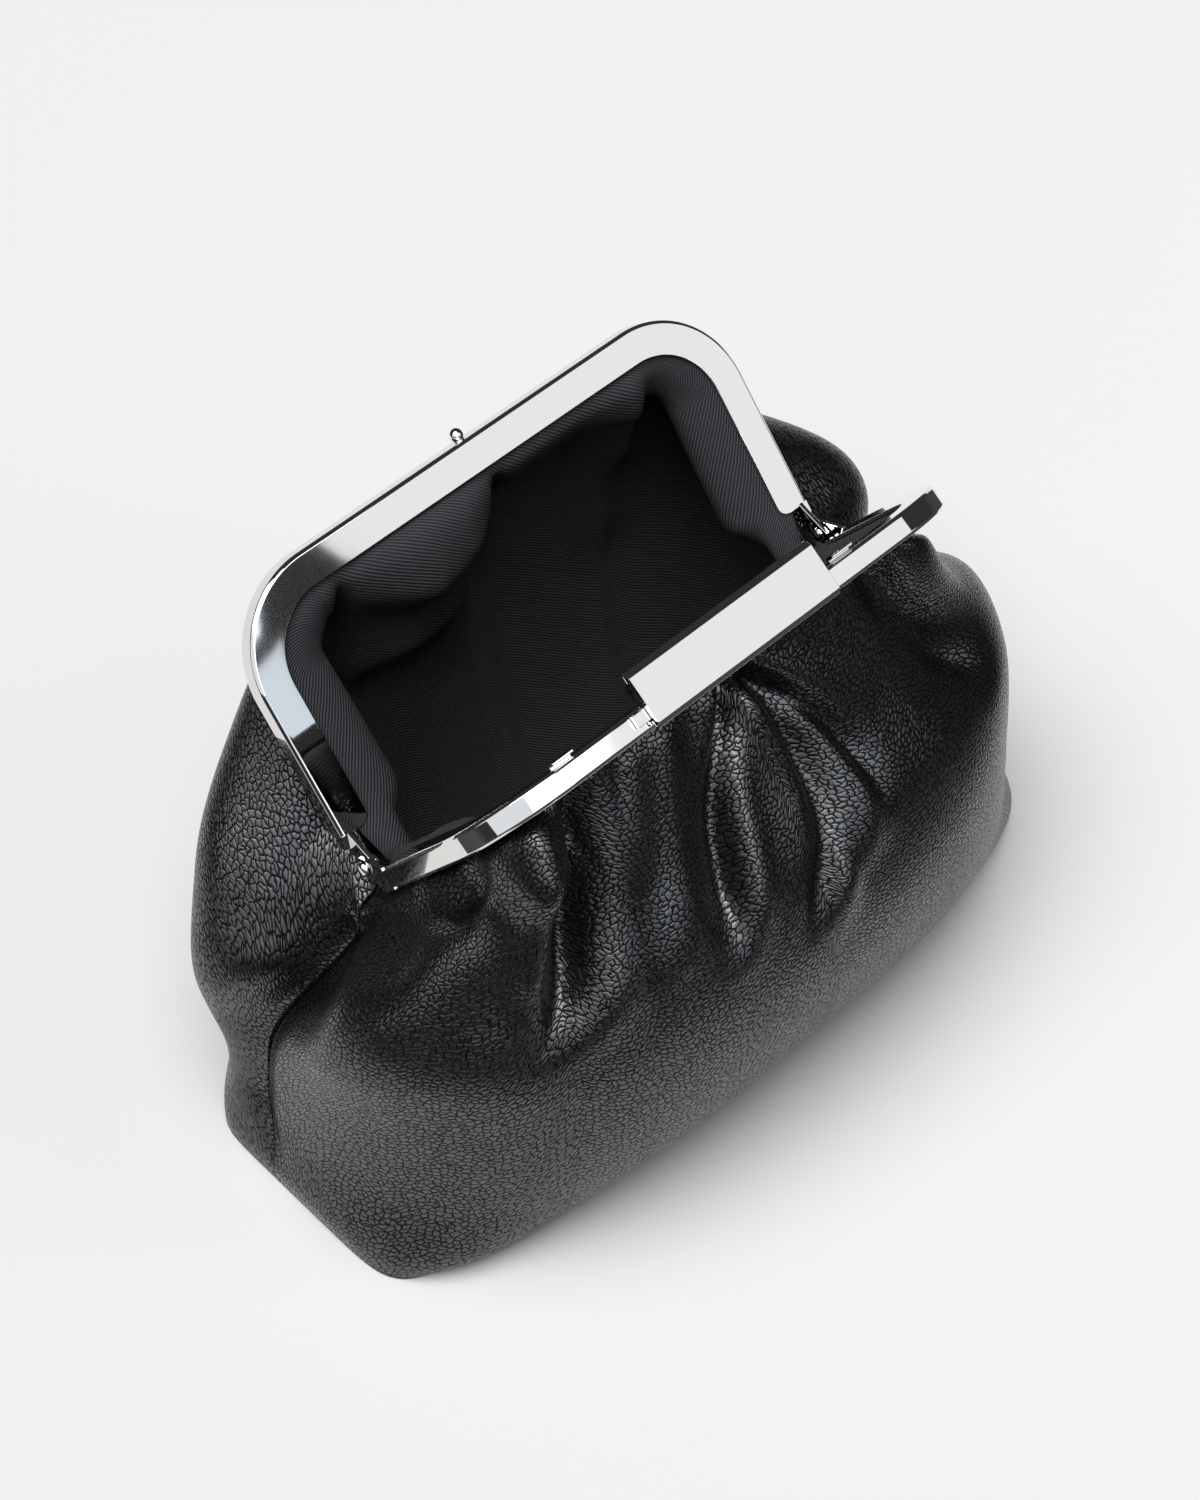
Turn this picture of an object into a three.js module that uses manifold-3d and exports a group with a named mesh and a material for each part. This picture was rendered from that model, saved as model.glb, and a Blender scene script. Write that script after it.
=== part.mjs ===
// A small clasp-frame bag of pebbled leather, standing open, with a sliding bar clasp.
// Millimetres, Z up, front towards -Y. The origin is on the floor, at the middle of the base.
import * as THREE from "three";
import { mergeVertices } from "three/addons/utils/BufferGeometryUtils.js";
import Module from "manifold-3d";

const wasm = await Module();
wasm.setup();

// Clearances, the overlap of joined pieces, how far a hole's cutter stands out, and the steps of round pieces
const GAP = 0.3;
const OVERLAP = 0.4;
const CUTTER_MARGIN = 1;
const MERGE_DISTANCE = 1e-4;
const ROUND_SIDES = 12;
const DOME_STEPS = 4;
const BALL_STEPS = 10;
const RING_STEPS = 120;

// Frame: two like jaws that open about the hinge axis. A jaw is a U of channel, open towards its inside.
const HINGE_HEIGHT = 107;
const HINGE_BEHIND = 10;
const FRAME_WIDTH = 170;
const LEG_LENGTH = 77.7;
const CORNER_RADIUS = 28;
const CORNER_STEPS = 10;
const CHANNEL_WIDTH = 6.5;
const RIM_WALL = 1.3;
const RIM_BEVEL = 0.8;
const FLANGE_DEPTH = 9.5;
const FLANGE_WALL = 1;
const FLANGE_START = 9;
const FLANGE_ROUND = 3;
const FLANGE_ROUND_SHARES = [0, 0.25, 0.6, 1];
const FRONT = { side: -1, lean: THREE.MathUtils.degToRad(35), set: 1.9 };
const BACK = { side: 1, lean: THREE.MathUtils.degToRad(41), set: 2.6 };

// Hinges: an ear on each leg end, with a rivet through both
const EAR_RADIUS = 3.4;
const EAR_THICKNESS = 1.3;
const EAR_NECK = 4.6;
const EAR_LAP = 1;
const EAR_TOP = FLANGE_START + EAR_LAP;
const JOGGLE_START = 5.5;
const PIN_RADIUS = 1.2;
const RIVET_HEAD_RADIUS = 2.3;
const RIVET_HEAD_HEIGHT = 1.4;

// Catch: the ball on the back jaw, the plate and its sliding bar on the front jaw
const BALL_RADIUS = 1.9;
const BALL_LIFT = 1.7;
const BALL_ACROSS = 3.1;
const SHANK_RADIUS = 1;
const UPSET_RADIUS = 1.8;
const UPSET_THICKNESS = 0.7;
const BAR = { left: -31.9, right: 31.1, back: -7, front: 8.9, height: 3.5, sheet: 0.7 };
const BAR_BEVEL = { back: 1.6, front: 1.3 };
const BAR_LIP = { foot: 0.4, back: -4.2, front: 6.5 };
const PLATE = { left: -36.2, wideLeft: -31.6, right: 27, back: -5, front: 7.2 };
const PLATE_FOOT = { back: 2.6, front: 6, height: 1.6 };
const PLATE_THICKNESS = 0.9;
const PLATE_END = { thickness: 0.8, drop: 2, back: -3.8, front: 1.2 };
const PLATE_PINS = [-18, 14];
const TABS = [{ left: -60.1, right: -53.5 }, { left: 35.9, right: 43 }];
const TAB = { reach: 1.6, thickness: 0.8, foot: -3.2, top: 0.3 };

// Leather and lining
const LEATHER = 1.5;
const LINING = 1;
const LINING_GAP = 2;
const SEAM_GAP = 0.3;
const LINING_FLOOR = LEATHER + GAP;
const FRONT_COLUMNS = 48;
const BACK_COLUMNS = 30;
const LEG_HOLD_START = 12;
const SEAM_RUN = 20;
const VALLEY_WIDTH = 15;

// How a panel leaves the channel, a row for each step. Inset is from the jaw's outer edge and across is from
// the channel's inner face, on a leg and on the top bar. The seam columns place the same step below the hinge.
const LEATHER_EXIT = [
  { legInset: 4.5, legAcross: 5.2, topInset: 4.5, topAcross: 5.2, seamX: 80.5, seamZ: 99.5 },
  { legInset: 10.2, legAcross: 5.2, topInset: 9.9, topAcross: 5.2, seamX: 81.5, seamZ: 96.2 },
  { legInset: 11.4, legAcross: 7.5, topInset: 12, topAcross: 6.2, seamX: 83.8, seamZ: 93.6 },
  { legInset: 8, legAcross: 10.5, topInset: 15, topAcross: 10, seamX: 88, seamZ: 91.6 },
];
const LINING_EXIT = [
  { legInset: 4.5, legAcross: 2.3, topInset: 4.5, topAcross: 2.3, seamX: 76.4, seamZ: 101 },
  { legInset: 9.9, legAcross: 2.3, topInset: 9.9, topAcross: 2.3, seamX: 77.4, seamZ: 95.6 },
  { legInset: 13.4, legAcross: 4, topInset: 14.4, topAcross: 3.6, seamX: 79.4, seamZ: 91.4 },
  { legInset: 16, legAcross: 9, topInset: 19, topAcross: 8, seamX: 83, seamZ: 88 },
  { legInset: 14, legAcross: 16, topInset: 23, topAcross: 12, seamX: 87, seamZ: 86 },
];

// Rings of the leather from the shoulder down to the base. Square is 2 for an ellipse and more for a boxier
// half ring, and seamInset is how deep the side fold lies behind the half width.
const RINGS = [
  {
    halfWidth: 114, front: 60, frontSquare: 3.3, back: 64, backSquare: 3.1,
    seamInset: 11, seamZ: 88.5, frontZ: 128, backZ: 128,
  },
  {
    halfWidth: 122, front: 79, frontSquare: 2.6, back: 66, backSquare: 2.9,
    seamInset: 12, seamZ: 72, frontZ: 100, backZ: 98,
  },
  {
    halfWidth: 120.5, front: 88, frontSquare: 2.5, back: 61, backSquare: 2.8,
    seamInset: 6, seamZ: 47, frontZ: 62, backZ: 62,
  },
  {
    halfWidth: 121.5, front: 81, frontSquare: 2.9, back: 53, backSquare: 2.8,
    seamInset: 3, seamZ: 22, frontZ: 32, backZ: 30,
  },
  {
    halfWidth: 125.5, front: 67, frontSquare: 5, back: 43, backSquare: 4,
    seamInset: 1, seamZ: 5, frontZ: 9, backZ: 8,
  },
  {
    halfWidth: 125, front: 55, frontSquare: 9, back: 35, backSquare: 6,
    seamInset: 0, seamZ: 0, frontZ: 0, backZ: 0,
  },
];
const LEATHER_ROWS = [0, 1, 2, 3, 3.5, 4, 4.5, 5, 5.5, 6, 6.5, 7, 8, 8.5, 9];
const LINING_ROWS = [0, 1, 2, 3, 4, 5, 5.5, 6, 7, 8, 9, 10];

// Gathers, a row for each ridge or valley: x where it leaves the jaw and at its foot, the height of its foot,
// its half breadth, and how far it stands out of the panel. A valley stands out by less than nothing. Gathers
// die out towards the sides, where a panel turns away.
const FOLD_TOP = 150;
const FOLD_FADE = 22;
const FOLD_REACH = { whole: 70, none: 98 };
const LEATHER_GATHERS = { from: 2.6, full: 5 };
const LINING_GATHERS = { from: 1, full: 3.5 };
FRONT.folds = [
  { top: -72, bottom: -82, foot: 88, halfBreadth: 7, out: 3 },
  { top: -58, bottom: -84, foot: 86, halfBreadth: 7, out: -8 },
  { top: -36, bottom: -74, foot: 82, halfBreadth: 13, out: 4 },
  { top: -10, bottom: -36, foot: 90, halfBreadth: 7, out: -8 },
  { top: -6, bottom: -24, foot: 86, halfBreadth: 8, out: 3.5 },
  { top: 5, bottom: -4, foot: 84, halfBreadth: 7, out: -6 },
  { top: 4, bottom: 22, foot: 98, halfBreadth: 7, out: -6 },
  { top: 18, bottom: 26, foot: 90, halfBreadth: 11, out: 5 },
  { top: 50, bottom: 88, foot: 94, halfBreadth: 11, out: -7 },
];
BACK.folds = [
  { top: -62, bottom: -70, foot: 76, halfBreadth: 9, out: -6 },
  { top: -34, bottom: -38, foot: 66, halfBreadth: 12, out: 4 },
  { top: -8, bottom: -6, foot: 70, halfBreadth: 9, out: -6 },
  { top: 20, bottom: 24, foot: 66, halfBreadth: 12, out: 4 },
  { top: 48, bottom: 56, foot: 74, halfBreadth: 9, out: -6 },
];

// Lengths along a jaw's outer edge
const LEG_STRAIGHT = LEG_LENGTH - CORNER_RADIUS;
const CORNER_LENGTH = (CORNER_RADIUS * Math.PI) / 2;
const TOP_STRAIGHT = FRAME_WIDTH - 2 * CORNER_RADIUS;
const JAW_LENGTH = 2 * (LEG_STRAIGHT + CORNER_LENGTH) + TOP_STRAIGHT;
const MOUTH_LENGTH = JAW_LENGTH - 2 * LEG_HOLD_START + 2 * SEAM_RUN;

const nickel = new THREE.MeshStandardMaterial({ color: 0xd8d6d2, roughness: 0.12, metalness: 1 });
const blackLeather = new THREE.MeshStandardMaterial({ color: 0x17171a, roughness: 0.5, metalness: 0 });
const charcoalTwill = new THREE.MeshStandardMaterial({ color: 0x1d2024, roughness: 0.9, metalness: 0 });

// Solids from geometries and back, with cuts and joins between them
function solidOf(geometry) {
  const plain = geometry.clone();
  plain.deleteAttribute("normal");
  plain.deleteAttribute("uv");
  const merged = mergeVertices(plain, MERGE_DISTANCE);
  return new wasm.Manifold(
    new wasm.Mesh({
      numProp: 3,
      vertProperties: merged.attributes.position.array,
      triVerts: new Uint32Array(merged.index.array),
    }),
  );
}

function geometryOf(solid) {
  const mesh = solid.getMesh();
  const geometry = new THREE.BufferGeometry();
  geometry.setAttribute("position", new THREE.BufferAttribute(mesh.vertProperties, 3));
  geometry.setIndex(new THREE.BufferAttribute(mesh.triVerts, 1));
  return geometry;
}

function joined(geometries) {
  return wasm.Manifold.union(geometries.map(solidOf));
}

// A closed geometry from points and triangles that agree with each other, turned to face out
function closedGeometry(points, triangles) {
  let volume = 0;
  for (const [a, b, c] of triangles) {
    volume += points[a].dot(points[b].clone().cross(points[c]));
  }
  const faces = volume < 0 ? triangles.map(([a, b, c]) => [a, c, b]) : triangles;
  const geometry = new THREE.BufferGeometry().setFromPoints(points);
  geometry.setIndex(faces.flat());
  return geometry;
}

// Triangles that fill a flat loop, in the loop's own direction
function fillLoop(loop) {
  const direction = Math.sign(THREE.ShapeUtils.area(loop));
  return THREE.ShapeUtils.triangulateShape(loop, []).map(([a, b, c]) => {
    const turn = Math.sign(THREE.ShapeUtils.area([loop[a], loop[b], loop[c]]));
    return turn === direction ? [a, b, c] : [a, c, b];
  });
}

// A solid through rings of equal count, closed at both ends by the fill of its outline
function loft(rings, outline) {
  const count = outline.length;
  const last = (rings.length - 1) * count;
  const triangles = [];
  for (let ring = 0; ring < rings.length - 1; ring++) {
    for (let i = 0; i < count; i++) {
      const a = ring * count + i;
      const b = ring * count + ((i + 1) % count);
      triangles.push([a, b, b + count], [a, b + count, a + count]);
    }
  }
  for (const [a, b, c] of fillLoop(outline)) {
    triangles.push([a, c, b], [last + a, last + b, last + c]);
  }
  return closedGeometry(rings.flat(), triangles);
}

// A wall between an outer and an inner grid of points. Rows run from the mouth to the base, which is filled.
// A closed wall goes right round, and an open one ends at its first and last columns.
function wall(outer, inner, closed) {
  const rows = outer.length;
  const columns = outer[0].length;
  const spans = closed ? columns : columns - 1;
  const at = (layer, row, column) => (layer * rows + row) * columns + (column % columns);
  const triangles = [];
  const quad = (a, b, c, d) => triangles.push([a, b, c], [a, c, d]);
  for (let c = 0; c < spans; c++) {
    for (let r = 0; r < rows - 1; r++) {
      quad(at(0, r, c), at(0, r + 1, c), at(0, r + 1, c + 1), at(0, r, c + 1));
      quad(at(1, r, c), at(1, r, c + 1), at(1, r + 1, c + 1), at(1, r + 1, c));
    }
    quad(at(0, 0, c), at(0, 0, c + 1), at(1, 0, c + 1), at(1, 0, c));
  }
  const foot = rows - 1;
  if (!closed) {
    for (let r = 0; r < foot; r++) {
      quad(at(0, r + 1, 0), at(0, r, 0), at(1, r, 0), at(1, r + 1, 0));
      quad(at(0, r, spans), at(0, r + 1, spans), at(1, r + 1, spans), at(1, r, spans));
    }
    quad(at(0, foot, spans), at(0, foot, 0), at(1, foot, 0), at(1, foot, spans));
  }
  const outerMiddle = 2 * rows * columns;
  const innerMiddle = outerMiddle + 1;
  for (let c = 0; c < columns; c++) {
    triangles.push([at(0, foot, c + 1), at(0, foot, c), outerMiddle]);
    triangles.push([at(1, foot, c), at(1, foot, c + 1), innerMiddle]);
  }
  const middles = [middleOf(outer[foot]), middleOf(inner[foot])];
  return closedGeometry([...outer.flat(), ...inner.flat(), ...middles], triangles);
}

function middleOf(points) {
  const sum = points.reduce((total, point) => total.add(point), new THREE.Vector3());
  return sum.divideScalar(points.length);
}

// A box between two corners
function box(low, high) {
  const size = high.map((value, axis) => value - low[axis]);
  const middle = high.map((value, axis) => (value + low[axis]) / 2);
  return new THREE.BoxGeometry(...size).translate(...middle);
}

// A straight bar along X between two places, whose section is drawn as across (n) and up (s) points
function barAlongX(section, left, right) {
  const shape = new THREE.Shape(section.map(([n, s]) => new THREE.Vector2(n, s)));
  const along = new THREE.ExtrudeGeometry(shape, { depth: right - left, bevelEnabled: false });
  const turn = new THREE.Matrix4().makeBasis(
    new THREE.Vector3(0, 0, 1),
    new THREE.Vector3(0, 1, 0),
    new THREE.Vector3(-1, 0, 0),
  );
  return along.applyMatrix4(turn).translate(right, 0, 0);
}

// The jaw's own frame has X along the hinge, Y up its legs (s) and Z out of the bag (n).
// Place on a jaw's outer edge at a length from the left hinge, with the direction into the U.
function edgeAt(length) {
  const mirrored = length > JAW_LENGTH / 2;
  const run = mirrored ? JAW_LENGTH - length : length;
  const hand = mirrored ? 1 : -1;
  const half = FRAME_WIDTH / 2;
  if (run < LEG_STRAIGHT) {
    return { x: hand * half, s: run, inX: -hand, inS: 0 };
  }
  if (run < LEG_STRAIGHT + CORNER_LENGTH) {
    const turn = (run - LEG_STRAIGHT) / CORNER_RADIUS;
    const x = hand * (half - CORNER_RADIUS + CORNER_RADIUS * Math.cos(turn));
    const s = LEG_STRAIGHT + CORNER_RADIUS * Math.sin(turn);
    return { x, s, inX: -hand * Math.cos(turn), inS: -Math.sin(turn) };
  }
  const alongTop = run - LEG_STRAIGHT - CORNER_LENGTH;
  return { x: hand * (half - CORNER_RADIUS - alongTop), s: LEG_LENGTH, inX: 0, inS: -1 };
}

// The channel's section as inset and across pairs, with flanges of a given depth
function channelSection(depth) {
  const width = CHANNEL_WIDTH;
  return [
    [0, RIM_BEVEL],
    [0, width - RIM_BEVEL],
    [RIM_BEVEL, width],
    [depth, width],
    [depth, width - FLANGE_WALL],
    [RIM_WALL, width - FLANGE_WALL],
    [RIM_WALL, FLANGE_WALL],
    [depth, FLANGE_WALL],
    [depth, 0],
    [RIM_BEVEL, 0],
  ];
}

// The channel bent along the U. Its flanges round off towards the hinges.
function channel(set) {
  const stations = FLANGE_ROUND_SHARES.map((share) => {
    const cutBack = FLANGE_ROUND * (1 - Math.sqrt(1 - (1 - share) ** 2));
    return { length: FLANGE_START + share * FLANGE_ROUND, depth: FLANGE_DEPTH - cutBack };
  });
  for (let step = 0; step <= CORNER_STEPS; step++) {
    const length = LEG_STRAIGHT + (CORNER_LENGTH * step) / CORNER_STEPS;
    stations.push({ length, depth: FLANGE_DEPTH });
  }
  const mirrored = stations.map(({ length, depth }) => ({ length: JAW_LENGTH - length, depth })).reverse();
  const rings = [...stations, ...mirrored].map(({ length, depth }) => {
    const { x, s, inX, inS } = edgeAt(length);
    return channelSection(depth).map(
      ([inset, across]) => new THREE.Vector3(x + inset * inX, s + inset * inS, set + across),
    );
  });
  return loft(rings, channelSection(FLANGE_DEPTH).map((pair) => new THREE.Vector2(...pair)));
}

// A hinge ear: a plate round the pivot whose neck reaches up to the leg's rim, before the pivot's hole is cut
function ear(hand, depthIn, set) {
  const section = [];
  for (let step = 0; step <= ROUND_SIDES; step++) {
    const angle = Math.PI + (Math.PI * step) / ROUND_SIDES;
    section.push([EAR_RADIUS * Math.cos(angle), EAR_RADIUS * Math.sin(angle)]);
  }
  section.push([set + EAR_NECK, EAR_TOP], [set, EAR_TOP]);
  const far = hand * (FRAME_WIDTH / 2 - depthIn);
  const near = far - hand * EAR_THICKNESS;
  return barAlongX(section, Math.min(far, near), Math.max(far, near));
}

// A round rod along the jaw's s direction
function rodAlongS(radius, x, n, low, high) {
  return new THREE.CylinderGeometry(radius, radius, high - low, ROUND_SIDES).translate(x, (low + high) / 2, n);
}

// Cutters for the pivots' holes through all four ears, and for a stud's hole through the rim
function pivotHole() {
  const radius = PIN_RADIUS + GAP;
  const length = FRAME_WIDTH + 2 * CUTTER_MARGIN;
  return solidOf(new THREE.CylinderGeometry(radius, radius, length, ROUND_SIDES).rotateZ(Math.PI / 2));
}

function rimHole(x, n) {
  const low = LEG_LENGTH - RIM_WALL - CUTTER_MARGIN;
  return solidOf(rodAlongS(SHANK_RADIUS + GAP, x, n, low, LEG_LENGTH + CUTTER_MARGIN));
}

// Rim strips that carry a jaw's two legs on from its flanges towards the hinges, from a given start
function legStrips(start, set) {
  return [-1, 1].map((hand) => {
    const outer = (hand * FRAME_WIDTH) / 2;
    const inner = outer - hand * RIM_WALL;
    const low = [Math.min(outer, inner), start, set];
    return box(low, [Math.max(outer, inner), EAR_TOP, set + CHANNEL_WIDTH]);
  });
}

function frontJaw() {
  const { set } = FRONT;
  const tabs = TABS.map(({ left, right }) => {
    const foot = LEG_LENGTH + TAB.foot;
    const top = LEG_LENGTH + TAB.top;
    const face = set - TAB.reach;
    const section = [
      [set + OVERLAP, foot],
      [set + OVERLAP, foot + TAB.thickness],
      [face + TAB.thickness, foot + TAB.thickness],
      [face + TAB.thickness, top],
      [face, top],
      [face, foot],
    ];
    return barAlongX(section, left, right);
  });
  const ears = [-1, 1].map((hand) => ear(hand, 0, set));
  const pinHoles = PLATE_PINS.map((x) => rimHole(x, set + CHANNEL_WIDTH / 2));
  const whole = joined([channel(set), ...legStrips(0, set), ...ears, ...tabs]);
  return geometryOf(whole.subtract(wasm.Manifold.union([pivotHole(), ...pinHoles])));
}

function backJaw() {
  const { set } = BACK;
  const depthIn = EAR_THICKNESS + GAP;
  const ears = [-1, 1].map((hand) => ear(hand, depthIn, set));
  const joggles = [-1, 1].map((hand) => {
    const outer = hand * (FRAME_WIDTH / 2 - OVERLAP);
    const inner = hand * (FRAME_WIDTH / 2 - depthIn - EAR_THICKNESS);
    const low = [Math.min(outer, inner), JOGGLE_START, set];
    return box(low, [Math.max(outer, inner), EAR_TOP, set + EAR_NECK]);
  });
  const whole = joined([channel(set), ...legStrips(JOGGLE_START, set), ...ears, ...joggles]);
  const holes = [pivotHole(), rimHole(0, set + BALL_ACROSS)];
  return geometryOf(whole.subtract(wasm.Manifold.union(holes)));
}

// A rivet along X: a pin through both ears with a domed head at each end
function rivet() {
  const half = (2 * EAR_THICKNESS + GAP) / 2 + GAP;
  const profile = [new THREE.Vector2(0, -half - RIVET_HEAD_HEIGHT)];
  const dome = (end) => {
    for (let step = 1; step <= DOME_STEPS; step++) {
      const share = step / DOME_STEPS;
      const angle = (Math.PI / 2) * (end < 0 ? share : 1 - share);
      const radius = RIVET_HEAD_RADIUS * Math.sin(angle);
      profile.push(new THREE.Vector2(radius, end * (half + RIVET_HEAD_HEIGHT * Math.cos(angle))));
    }
  };
  dome(-1);
  profile.push(new THREE.Vector2(PIN_RADIUS, -half), new THREE.Vector2(PIN_RADIUS, half));
  profile.push(new THREE.Vector2(RIVET_HEAD_RADIUS, half));
  dome(1);
  return new THREE.LatheGeometry(profile, ROUND_SIDES).rotateZ(Math.PI / 2);
}

// The ball stud stands on the rim, with its shank through the rim and upset below it
function ballStud() {
  const underRim = LEG_LENGTH - RIM_WALL - GAP;
  const centre = LEG_LENGTH + BALL_LIFT;
  const profile = [
    new THREE.Vector2(0, underRim - UPSET_THICKNESS),
    new THREE.Vector2(UPSET_RADIUS, underRim - UPSET_THICKNESS),
    new THREE.Vector2(UPSET_RADIUS, underRim),
    new THREE.Vector2(SHANK_RADIUS, underRim),
  ];
  const start = Math.asin(SHANK_RADIUS / BALL_RADIUS);
  for (let step = 0; step <= BALL_STEPS; step++) {
    const angle = start + ((Math.PI - start) * step) / BALL_STEPS;
    const radius = step === BALL_STEPS ? 0 : BALL_RADIUS * Math.sin(angle);
    profile.push(new THREE.Vector2(radius, centre - BALL_RADIUS * Math.cos(angle)));
  }
  return new THREE.LatheGeometry(profile, ROUND_SIDES).translate(0, 0, BACK.set + BALL_ACROSS);
}

// The plate stands on a foot on the rim, pinned through it, and ends in a turned-down tab on its inner side
function claspPlate() {
  const rim = LEG_LENGTH;
  const under = rim + PLATE_FOOT.height;
  const top = under + PLATE_THICKNESS;
  const foot = box([PLATE.left, rim + GAP, PLATE_FOOT.back], [PLATE.right, under + OVERLAP, PLATE_FOOT.front]);
  const head = box([PLATE.wideLeft, under, PLATE.back], [PLATE.right, top, PLATE.front]);
  const endRight = PLATE.wideLeft + PLATE_END.thickness;
  const end = box([PLATE.wideLeft, rim - PLATE_END.drop, PLATE_END.back], [endRight, top, PLATE_END.front]);
  const middle = FRONT.set + CHANNEL_WIDTH / 2;
  const underRim = rim - RIM_WALL - GAP;
  const pins = PLATE_PINS.flatMap((x) => [
    rodAlongS(SHANK_RADIUS, x, middle, underRim - UPSET_THICKNESS, under),
    rodAlongS(UPSET_RADIUS, x, middle, underRim - UPSET_THICKNESS, underRim),
  ]);
  return geometryOf(joined([foot, head, end, ...pins]));
}

// The bar is one bent sheet that grips the plate's two edges from above
function claspBar() {
  const rim = LEG_LENGTH;
  const { back, front, height, sheet } = BAR;
  const lipFoot = rim + BAR_LIP.foot;
  const top = rim + height;
  const section = [
    [BAR_LIP.back, lipFoot],
    [back, lipFoot],
    [back, top - BAR_BEVEL.back],
    [back + BAR_BEVEL.back, top],
    [front - BAR_BEVEL.front, top],
    [front, top - BAR_BEVEL.front],
    [front, lipFoot],
    [BAR_LIP.front, lipFoot],
    [BAR_LIP.front, lipFoot + sheet],
    [front - sheet, lipFoot + sheet],
    [front - sheet, top - BAR_BEVEL.front - sheet / 2],
    [front - BAR_BEVEL.front - sheet / 2, top - sheet],
    [back + BAR_BEVEL.back + sheet / 2, top - sheet],
    [back + sheet, top - BAR_BEVEL.back - sheet / 2],
    [back + sheet, lipFoot + sheet],
    [BAR_LIP.back, lipFoot + sheet],
  ];
  return barAlongX(section, BAR.left, BAR.right);
}

// A place in a jaw's frame, in the bag's frame
function jawPoint(jaw, x, s, n) {
  const { side, lean } = jaw;
  const y = side * (s * Math.sin(lean) + n * Math.cos(lean));
  return new THREE.Vector3(x, y, HINGE_HEIGHT + s * Math.cos(lean) - n * Math.sin(lean));
}

// One step of the way out of the channel, at a share of the mouth from the left seam to the right seam
function exitPoint(jaw, step, share) {
  const left = share < 0.5;
  const fromSeam = Math.min(share, 1 - share) * MOUTH_LENGTH;
  const held = Math.max(fromSeam - SEAM_RUN, 0) + LEG_HOLD_START;
  const edge = edgeAt(left ? held : JAW_LENGTH - held);
  const leg = Math.abs(edge.inX);
  const inset = THREE.MathUtils.lerp(step.topInset, step.legInset, leg);
  const across = THREE.MathUtils.lerp(step.topAcross, step.legAcross, leg);
  const point = jawPoint(jaw, edge.x + inset * edge.inX, edge.s + inset * edge.inS, jaw.set + across);
  if (fromSeam >= SEAM_RUN) {
    return point;
  }
  const seam = new THREE.Vector3((left ? -1 : 1) * step.seamX, 0, step.seamZ);
  return seam.lerp(point, fromSeam / SEAM_RUN);
}

// A quarter of a ring as points with their length along it, from its side to its middle
function quarterRing(halfWidth, depth, square) {
  const quarter = [];
  let length = 0;
  for (let step = 0; step <= RING_STEPS; step++) {
    const angle = (Math.PI / 2) * (step / RING_STEPS);
    const x = halfWidth * Math.cos(angle) ** (2 / square);
    const y = depth * Math.sin(angle) ** (2 / square);
    const before = quarter[step - 1];
    length += before ? Math.hypot(x - before.x, y - before.y) : 0;
    quarter.push({ x, y, length });
  }
  return quarter;
}

for (const ring of RINGS) {
  ring.quarters = new Map([
    [FRONT, quarterRing(ring.halfWidth, ring.front, ring.frontSquare)],
    [BACK, quarterRing(ring.halfWidth, ring.back, ring.backSquare)],
  ]);
}

// A place on a ring at a share of its way from the left seam to the right seam, on the jaw's side of the bag
function ringPoint(jaw, ring, share) {
  const quarter = ring.quarters.get(jaw);
  const fromSeam = Math.min(share, 1 - share);
  const length = fromSeam * 2 * quarter.at(-1).length;
  const after = Math.max(1, quarter.findIndex((place) => place.length >= length));
  const [a, b] = [quarter[after - 1], quarter[after]];
  const between = (length - a.length) / (b.length - a.length);
  const valley = ring.seamInset * Math.exp(-((length / VALLEY_WIDTH) ** 2));
  const x = THREE.MathUtils.lerp(a.x, b.x, between) - valley;
  const y = THREE.MathUtils.lerp(a.y, b.y, between);
  const middleZ = jaw === FRONT ? ring.frontZ : ring.backZ;
  const z = THREE.MathUtils.lerp(ring.seamZ, middleZ, Math.sin(Math.PI * share));
  return new THREE.Vector3(share < 0.5 ? -x : x, jaw.side * y, z);
}

// The smooth leather from mouth to base at one share, before its gathers. Row numbers count its steps.
function leatherLine(jaw, share) {
  const exits = LEATHER_EXIT.map((step) => exitPoint(jaw, step, share));
  const rings = RINGS.map((ring) => ringPoint(jaw, ring, share));
  return new THREE.CatmullRomCurve3([...exits, ...rings], false, "centripetal");
}

function onLine(line, row) {
  return line.getPoint(row / (line.points.length - 1));
}

// How far the gathers push a panel out at a place, growing from nothing at one row to all of it at another
function gather(folds, place, row, rows) {
  let out = 0;
  for (const fold of folds) {
    const along = THREE.MathUtils.clamp((FOLD_TOP - place.z) / (FOLD_TOP - fold.foot), 0, 1);
    const across = (place.x - THREE.MathUtils.lerp(fold.top, fold.bottom, along)) / fold.halfBreadth;
    const fade = THREE.MathUtils.smoothstep(place.z, fold.foot, fold.foot + FOLD_FADE);
    out += fold.out * Math.exp(-across * across) * fade;
  }
  const facing = 1 - THREE.MathUtils.smoothstep(Math.abs(place.x), FOLD_REACH.whole, FOLD_REACH.none);
  return out * facing * THREE.MathUtils.smoothstep(row, rows.from, rows.full);
}

function gathered(jaw, folds, place, row, rows) {
  return place.clone().setY(place.y + jaw.side * gather(folds, place, row, rows));
}

// The outward direction of a grid of points at one of them, level across at the side seams
function outward(grid, row, column, side) {
  const rowAbove = grid[Math.max(row - 1, 0)];
  const rowBelow = grid[Math.min(row + 1, grid.length - 1)];
  const last = grid[0].length - 1;
  const down = rowBelow[column].clone().sub(rowAbove[column]);
  const along = grid[row][Math.min(column + 1, last)].clone().sub(grid[row][Math.max(column - 1, 0)]);
  const out = along.cross(down).multiplyScalar(side);
  if (column === 0 || column === last) {
    out.y = 0;
  }
  return out.normalize();
}

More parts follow.
